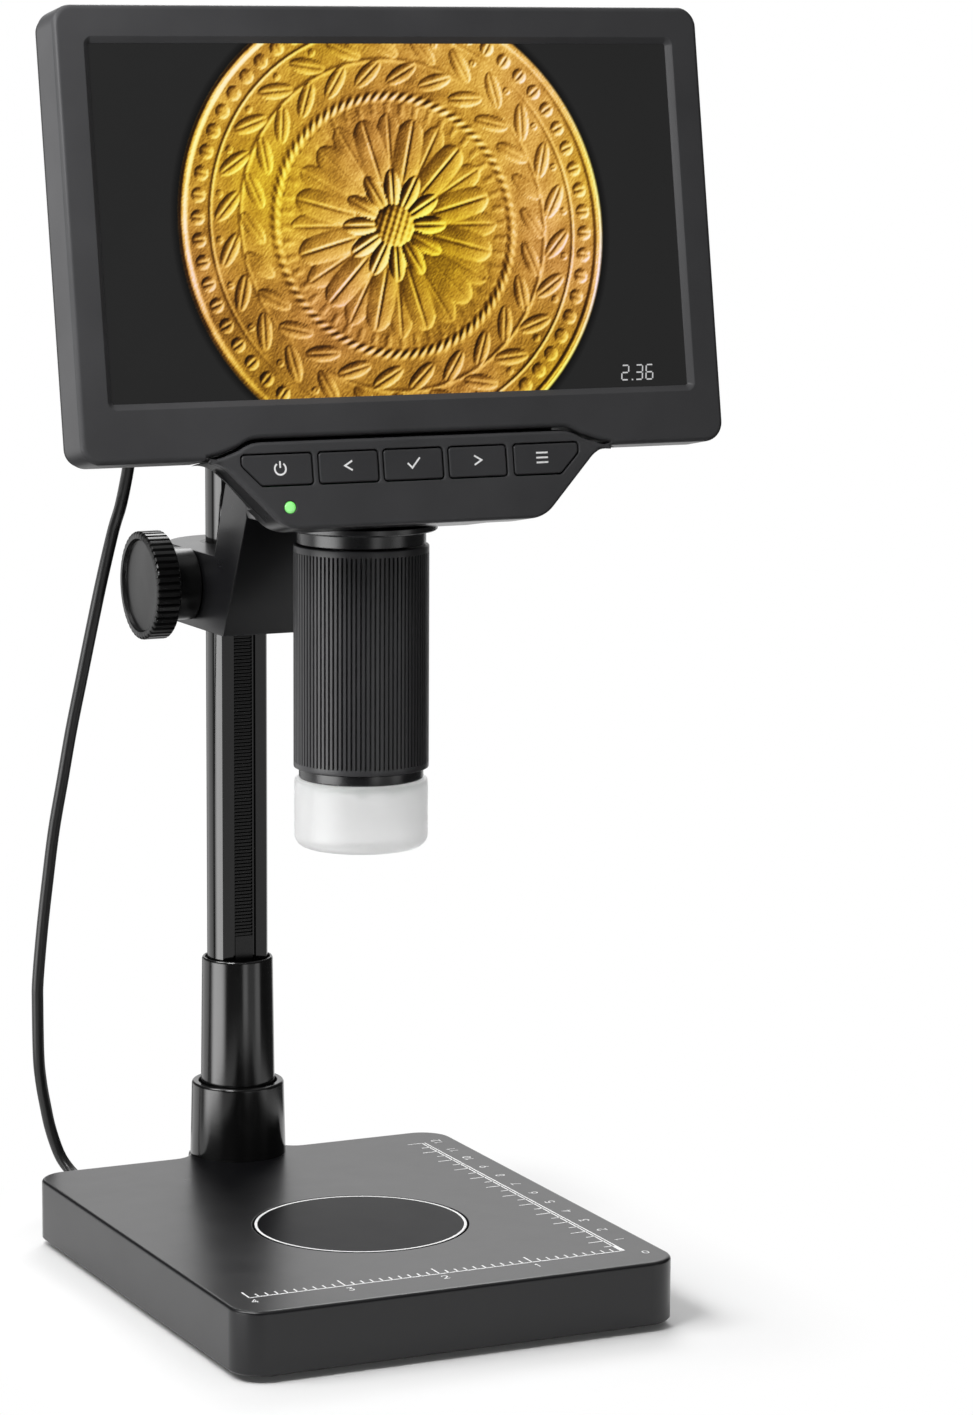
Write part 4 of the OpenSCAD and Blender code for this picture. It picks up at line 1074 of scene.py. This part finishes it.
def make_knobs():
    """Two knobs alike: a hub, a ribbed rim, and a face that is dished inside the rim."""
    r, hub_r = KNOB_R, HUB_R
    profile = [(AXIS, KNOB_FROM), (hub_r - 0.3, KNOB_FROM), (hub_r, KNOB_FROM + 0.3),
               (hub_r, RIM_FROM - 0.8), (hub_r + 0.4, RIM_FROM - 0.2), (hub_r + 1.2, RIM_FROM),
               (r - 1.6, RIM_FROM), (r - 0.8, RIM_FROM + 0.3), (r - 0.25, RIM_FROM + 0.6),
               (r, RIM_FROM + 0.9), (r, RIM_TO - 0.5), (r - 0.2, RIM_TO - 0.2), (r - 0.75, RIM_TO),
               (r - 1.9, RIM_TO), (r - 2.15, RIM_TO - 0.2), (r - 2.35, RIM_TO - 0.9),
               (r - 2.7, RIM_TO - 1.1), (6.0, RIM_TO - 1.4), (AXIS, RIM_TO - 1.45)]
    pinion = Matrix.Translation(world(PINION))
    for side, name in ((1, "right_knob"), (-1, "left_knob")):
        place = pinion @ Matrix.Rotation(math.radians(90 * side), 4, "Y") @ UPRIGHT
        turned(name, profile, (0, 0), KNOB_RIBS * 8, knob_ribs, place)


make_knobs()


# ---- barrel
SHADE_R = 16.9
SHADE_LOW = 116.9
SHADE_HIGH = 134.35
TUBE_LOW = 134.4
TUBE_HIGH = 200.4
RING_R = 17.1
RING_LOW = 137.2
RING_HIGH = 193.69
RING_RIBS = 90
RIBS_LOW = 138.6
RIBS_HIGH = 192.0
MOUNT_LOW = 194.1
MOUNT_TOP = 202.5


def ring_ribs(angle, r, z):
    """Flat ribs with narrow grooves between them."""
    if r < RING_R - 0.1 or not RIBS_LOW < z < RIBS_HIGH:
        return r
    return r - 0.75 * grooved(angle, RING_RIBS, 0.40)


def make_barrel():
    """From the top down: the mount, the tube, the ribbed focus ring round it, and the light shade."""
    bore, low, top = 11.55, MOUNT_LOW, MOUNT_TOP
    mount = [(bore, low), (16.2, low), (16.3, low + 0.2), (16.3, low + 3), (16.5, low + 3.2),
             (18.9, low + 3.4), (19.2, low + 3.7), (19.2, top - 3.5), (12, top - 3.5), (12, top),
             (9, top), (9, top - 2), (bore, top - 2), (bore, low)]
    turned("barrel_mount", mount, OPTIC_AT)
    bore, low, top = 9.5, TUBE_LOW, TUBE_HIGH
    tube_profile = [(bore, low), (15.3, low), (15.6, low + 0.1), (15.75, low + 0.4), (15.75, low + 2.5),
                    (12.9, low + 2.5), (12.9, top - 6.7), (11.5, top - 6.7), (11.5, top), (bore, top),
                    (bore, low)]
    turned("lens_tube", tube_profile, OPTIC_AT)
    bore, low, top, r = 12.95, RING_LOW, RING_HIGH, RING_R
    ribbed = [(r, z) for z in (RIBS_LOW - 0.01, RIBS_LOW + 0.3, RIBS_HIGH - 0.3, RIBS_HIGH + 0.01)]
    grip = [(bore, low), (r - 0.2, low), (r - 0.05, low + 0.1), (r, low + 0.3), (r, low + 1.1),
            *ribbed, (r, top - 0.49), (r - 0.05, top - 0.19), (r - 0.25, top), (bore, top), (bore, low)]
    turned("focus_ring", grip, OPTIC_AT, RING_RIBS * 12, ring_ribs)
    low, top, r, mouth_r, bend_r = SHADE_LOW, SHADE_HIGH, SHADE_R, SHADE_R - 3.6, 3
    bend = [(r - bend_r + bend_r * math.cos(a), low + bend_r - bend_r * math.sin(a))
            for a in np.radians(range(75, -1, -15))]
    shade = [(mouth_r, low), *bend, (r, top - 0.75), (r - 0.15, top - 0.25), (r - 0.5, top),
             (14.75, top), (14.75, top - 2), (15.4, top - 2), (15.4, low + 3.4), (mouth_r, low + 1.5),
             (mouth_r, low)]
    turned("light_shade", shade, OPTIC_AT)


make_barrel()


# ---- cable
CABLE_R = 1.6
CABLE_ROUTE = [
    (-38, 38, 217), (-38, 42.5, 214.5), (-38, 46.5, 206), (-38, 51, 198), (-37.5, 58, 190.5),
    (-38.5, 64, 177), (-40, 68, 163.5), (-41.5, 72, 149.5), (-43, 76, 135.5), (-44.5, 79, 121.5),
    (-46, 82, 107.5), (-47, 84.5, 93.5), (-48, 86.5, 79.5), (-49, 87.5, 65.5), (-49, 88, 58.5),
    (-48.5, 89, 44), (-47.5, 90, 36.5), (-46, 91, 29.5), (-44.5, 91, 22.5), (-42.5, 89.5, 15.5),
    (-40.5, 86.5, 11.5), (-39, 81.5, 9.5), (-38, 75.6, 9),
]


def smooth_path(points):
    """A Catmull-Rom curve through the points, in six steps from each to the next."""
    per = 6
    pts = [Vector(p) for p in points]
    pts = [pts[0] * 2 - pts[1], *pts, pts[-1] * 2 - pts[-2]]
    path = []
    for i in range(1, len(pts) - 2):
        p0, p1, p2, p3 = pts[i - 1 : i + 3]
        for k in range(per):
            t = k / per
            path.append(0.5 * ((2 * p1) + (p2 - p0) * t + (2 * p0 - 5 * p1 + 4 * p2 - p3) * t * t
                               + (3 * p1 - p0 - 3 * p2 + p3) * t ** 3))
    return [*path, pts[-2]]


def tube(path, radius):
    """A round tube along a path, closed at both ends."""
    sides = 16
    loops = []
    for i, p in enumerate(path):
        run = (path[min(i + 1, len(path) - 1)] - path[max(i - 1, 0)]).normalized()
        a = Vector((1, 0, 0)).cross(run).normalized()
        b = run.cross(a)
        loops.append([tuple(p + radius * (math.cos(2 * math.pi * k / sides) * a
                                          + math.sin(2 * math.pi * k / sides) * b))
                      for k in range(sides)])
    verts, faces = stack(loops)
    last = (len(loops) - 1) * sides
    return verts, [*faces, tuple(range(sides - 1, -1, -1)), tuple(range(last, last + sides))]


cable_path = smooth_path(CABLE_ROUTE)
cable = piece("cable_lead", *tube(cable_path, CABLE_R), "cable_black", None, replaces=["cable"])
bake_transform(cable)


# ---- floor and light
FLOOR_HALF = 0.185
FLOOR_SIDES = 96
# the floor's own colour fades to white between these two distances from the base
SHADE_NEAR = 0.010
SHADE_FAR = 0.052


def from_base(m):
    """The distance of a point on the floor from the base's rectangle, by nodes."""
    middle = (0, (BASE_BACK + BASE_FRONT) / 2 * MM, 0)
    half = (BASE_W / 2 * MM, (BASE_BACK - BASE_FRONT) / 2 * MM, 0)
    away = m.coords
    for operation, by in (("SUBTRACT", middle), ("ABSOLUTE", (0, 0, 0)), ("SUBTRACT", half),
                          ("MAXIMUM", (0, 0, 0))):
        away = m.add("VectorMath", enumerate((away, by)), operation=operation).outputs["Vector"]
    return m.add("VectorMath", {0: away}, operation="LENGTH").outputs["Value"]


def make_floor():
    """A pale sheet under the object, which takes its shadow and fades to the backdrop's white round it."""
    loops = [[(x, y, 0.0) for x, y in circle((0, -0.02), r, FLOOR_SIDES)]
             for r in (FLOOR_HALF, FLOOR_HALF / 2, 0.02)]
    verts, faces = stack(loops)
    mesh = bpy.data.meshes.new("floor")
    mesh.from_pydata(verts, [], [*faces, tuple(range(len(verts) - FLOOR_SIDES, len(verts)))])
    floor = new_object("floor", mesh)
    m = Mat("floor")
    m.colour(m.noise(3, 2), grey(0.86), grey(0.90), (0.2, 0.8))
    m.set(Roughness=0.6, Specular_IOR_Level=0.0)
    _, mask = m.white_mask()
    share = m.calc("MULTIPLY", m.smooth(from_base(m), SHADE_NEAR, SHADE_FAR, 0.04), mask)
    mix = m.add("MixShader", {0: share, 1: m.shader.outputs[0], 2: m.add("Emission").outputs[0]})
    m.feed(mix.outputs[0], m.tree.nodes["Material Output"].inputs["Surface"])
    mesh.materials.append(m.material)


class Sky(Nodes):
    """The studio round the object, by direction: soft boxes on a dim room, and the white backdrop."""

    def __init__(self):
        studio = bpy.data.worlds.new("studio")
        bpy.context.scene.world = studio
        studio.use_nodes = True
        super().__init__(studio.node_tree)
        way = self.add("TexCoord").outputs["Generated"]
        self.x, self.y, self.z = self.add("SeparateXYZ", {0: way}).outputs
        level = self.calc("SUBTRACT", 1.0, self.calc("MULTIPLY", self.z, self.z))
        self.level = self.calc("SQRT", self.calc("MAXIMUM", level, 0.0001))

    def box(self, azimuth, half, fade, low, high, strength):
        """A soft box between two heights (sine of the elevation), centred on a compass angle from +Y."""
        a = math.radians(azimuth)
        along = self.calc("ADD", self.calc("MULTIPLY", self.x, math.sin(a)),
                          self.calc("MULTIPLY", self.y, math.cos(a)))
        facing = self.calc("DIVIDE", along, self.level)
        side = self.smooth(facing, math.cos(math.radians(half + fade)), math.cos(math.radians(half)))
        above = self.smooth(self.z, low - 0.12, low)
        below = self.calc("SUBTRACT", 1.0, self.smooth(self.z, high, high + 0.25))
        inside = self.calc("MULTIPLY", side, self.calc("MULTIPLY", above, below))
        return self.calc("MULTIPLY", inside, strength)

    def build(self):
        room = self.calc("ADD", 0.06, self.calc("MULTIPLY", self.smooth(self.z, 0.35, 0.95), 0.5))
        for spec in SOFT_BOXES:
            room = self.calc("ADD", room, self.box(*spec))
        camera, mask = self.white_mask()
        lit = self.calc("MAXIMUM", room, self.calc("MULTIPLY", self.box(*BACKDROP), mask))
        unseen = self.calc("SUBTRACT", 1.0, camera)
        seen = self.calc("ADD", self.calc("MULTIPLY", lit, unseen), camera)
        back = self.tree.nodes["Background"]
        back.inputs["Color"].default_value = (1, 1, 1, 1)
        self.feed(seen, back.inputs["Strength"])


# compass angle of the middle, half width, fade, lowest and highest sine of elevation, strength
SOFT_BOXES = [
    (-92, 9, 22, -0.27, -0.10, 6.2),
    (-30, 16, 16, -0.30, -0.05, 1.05),
    (177, 3, 7, -0.21, -0.10, 1.3),
    (135, 4, 8, -0.21, -0.10, 1.0),
    (155, 25, 8, -0.21, -0.08, 0.55),
]
# the backdrop that mirrors and glass show behind the object
BACKDROP = (CAMERA_YAW + 3, 18, 9, -0.6, 0.75, 1.0)


def area_light(name, at, aim, size, power):
    """A square light of that size in metres and power in watts."""
    data = bpy.data.lights.new(name, "AREA")
    data.size = size
    data.energy = power
    lamp = new_object(name, data)
    lamp.location = at
    lamp.rotation_euler = (Vector(aim) - Vector(at)).to_track_quat("-Z", "Y").to_euler()


bpy.context.scene.view_settings.view_transform = "Standard"
make_floor()
Sky().build()
area_light("key", (-0.27, -0.20, 0.42), (-0.02, -0.04, 0.28), 0.15, 1.2)
area_light("side", (-0.9, 0.1, 0.95), (0, 0, 0.05), 0.5, 6)
area_light("top", (-0.2, 0.2, 1.4), (0, 0, 0.1), 0.6, 3)
area_light("rear", (0.35, 0.75, 0.9), (0, 0, 0.15), 0.5, 4.5)
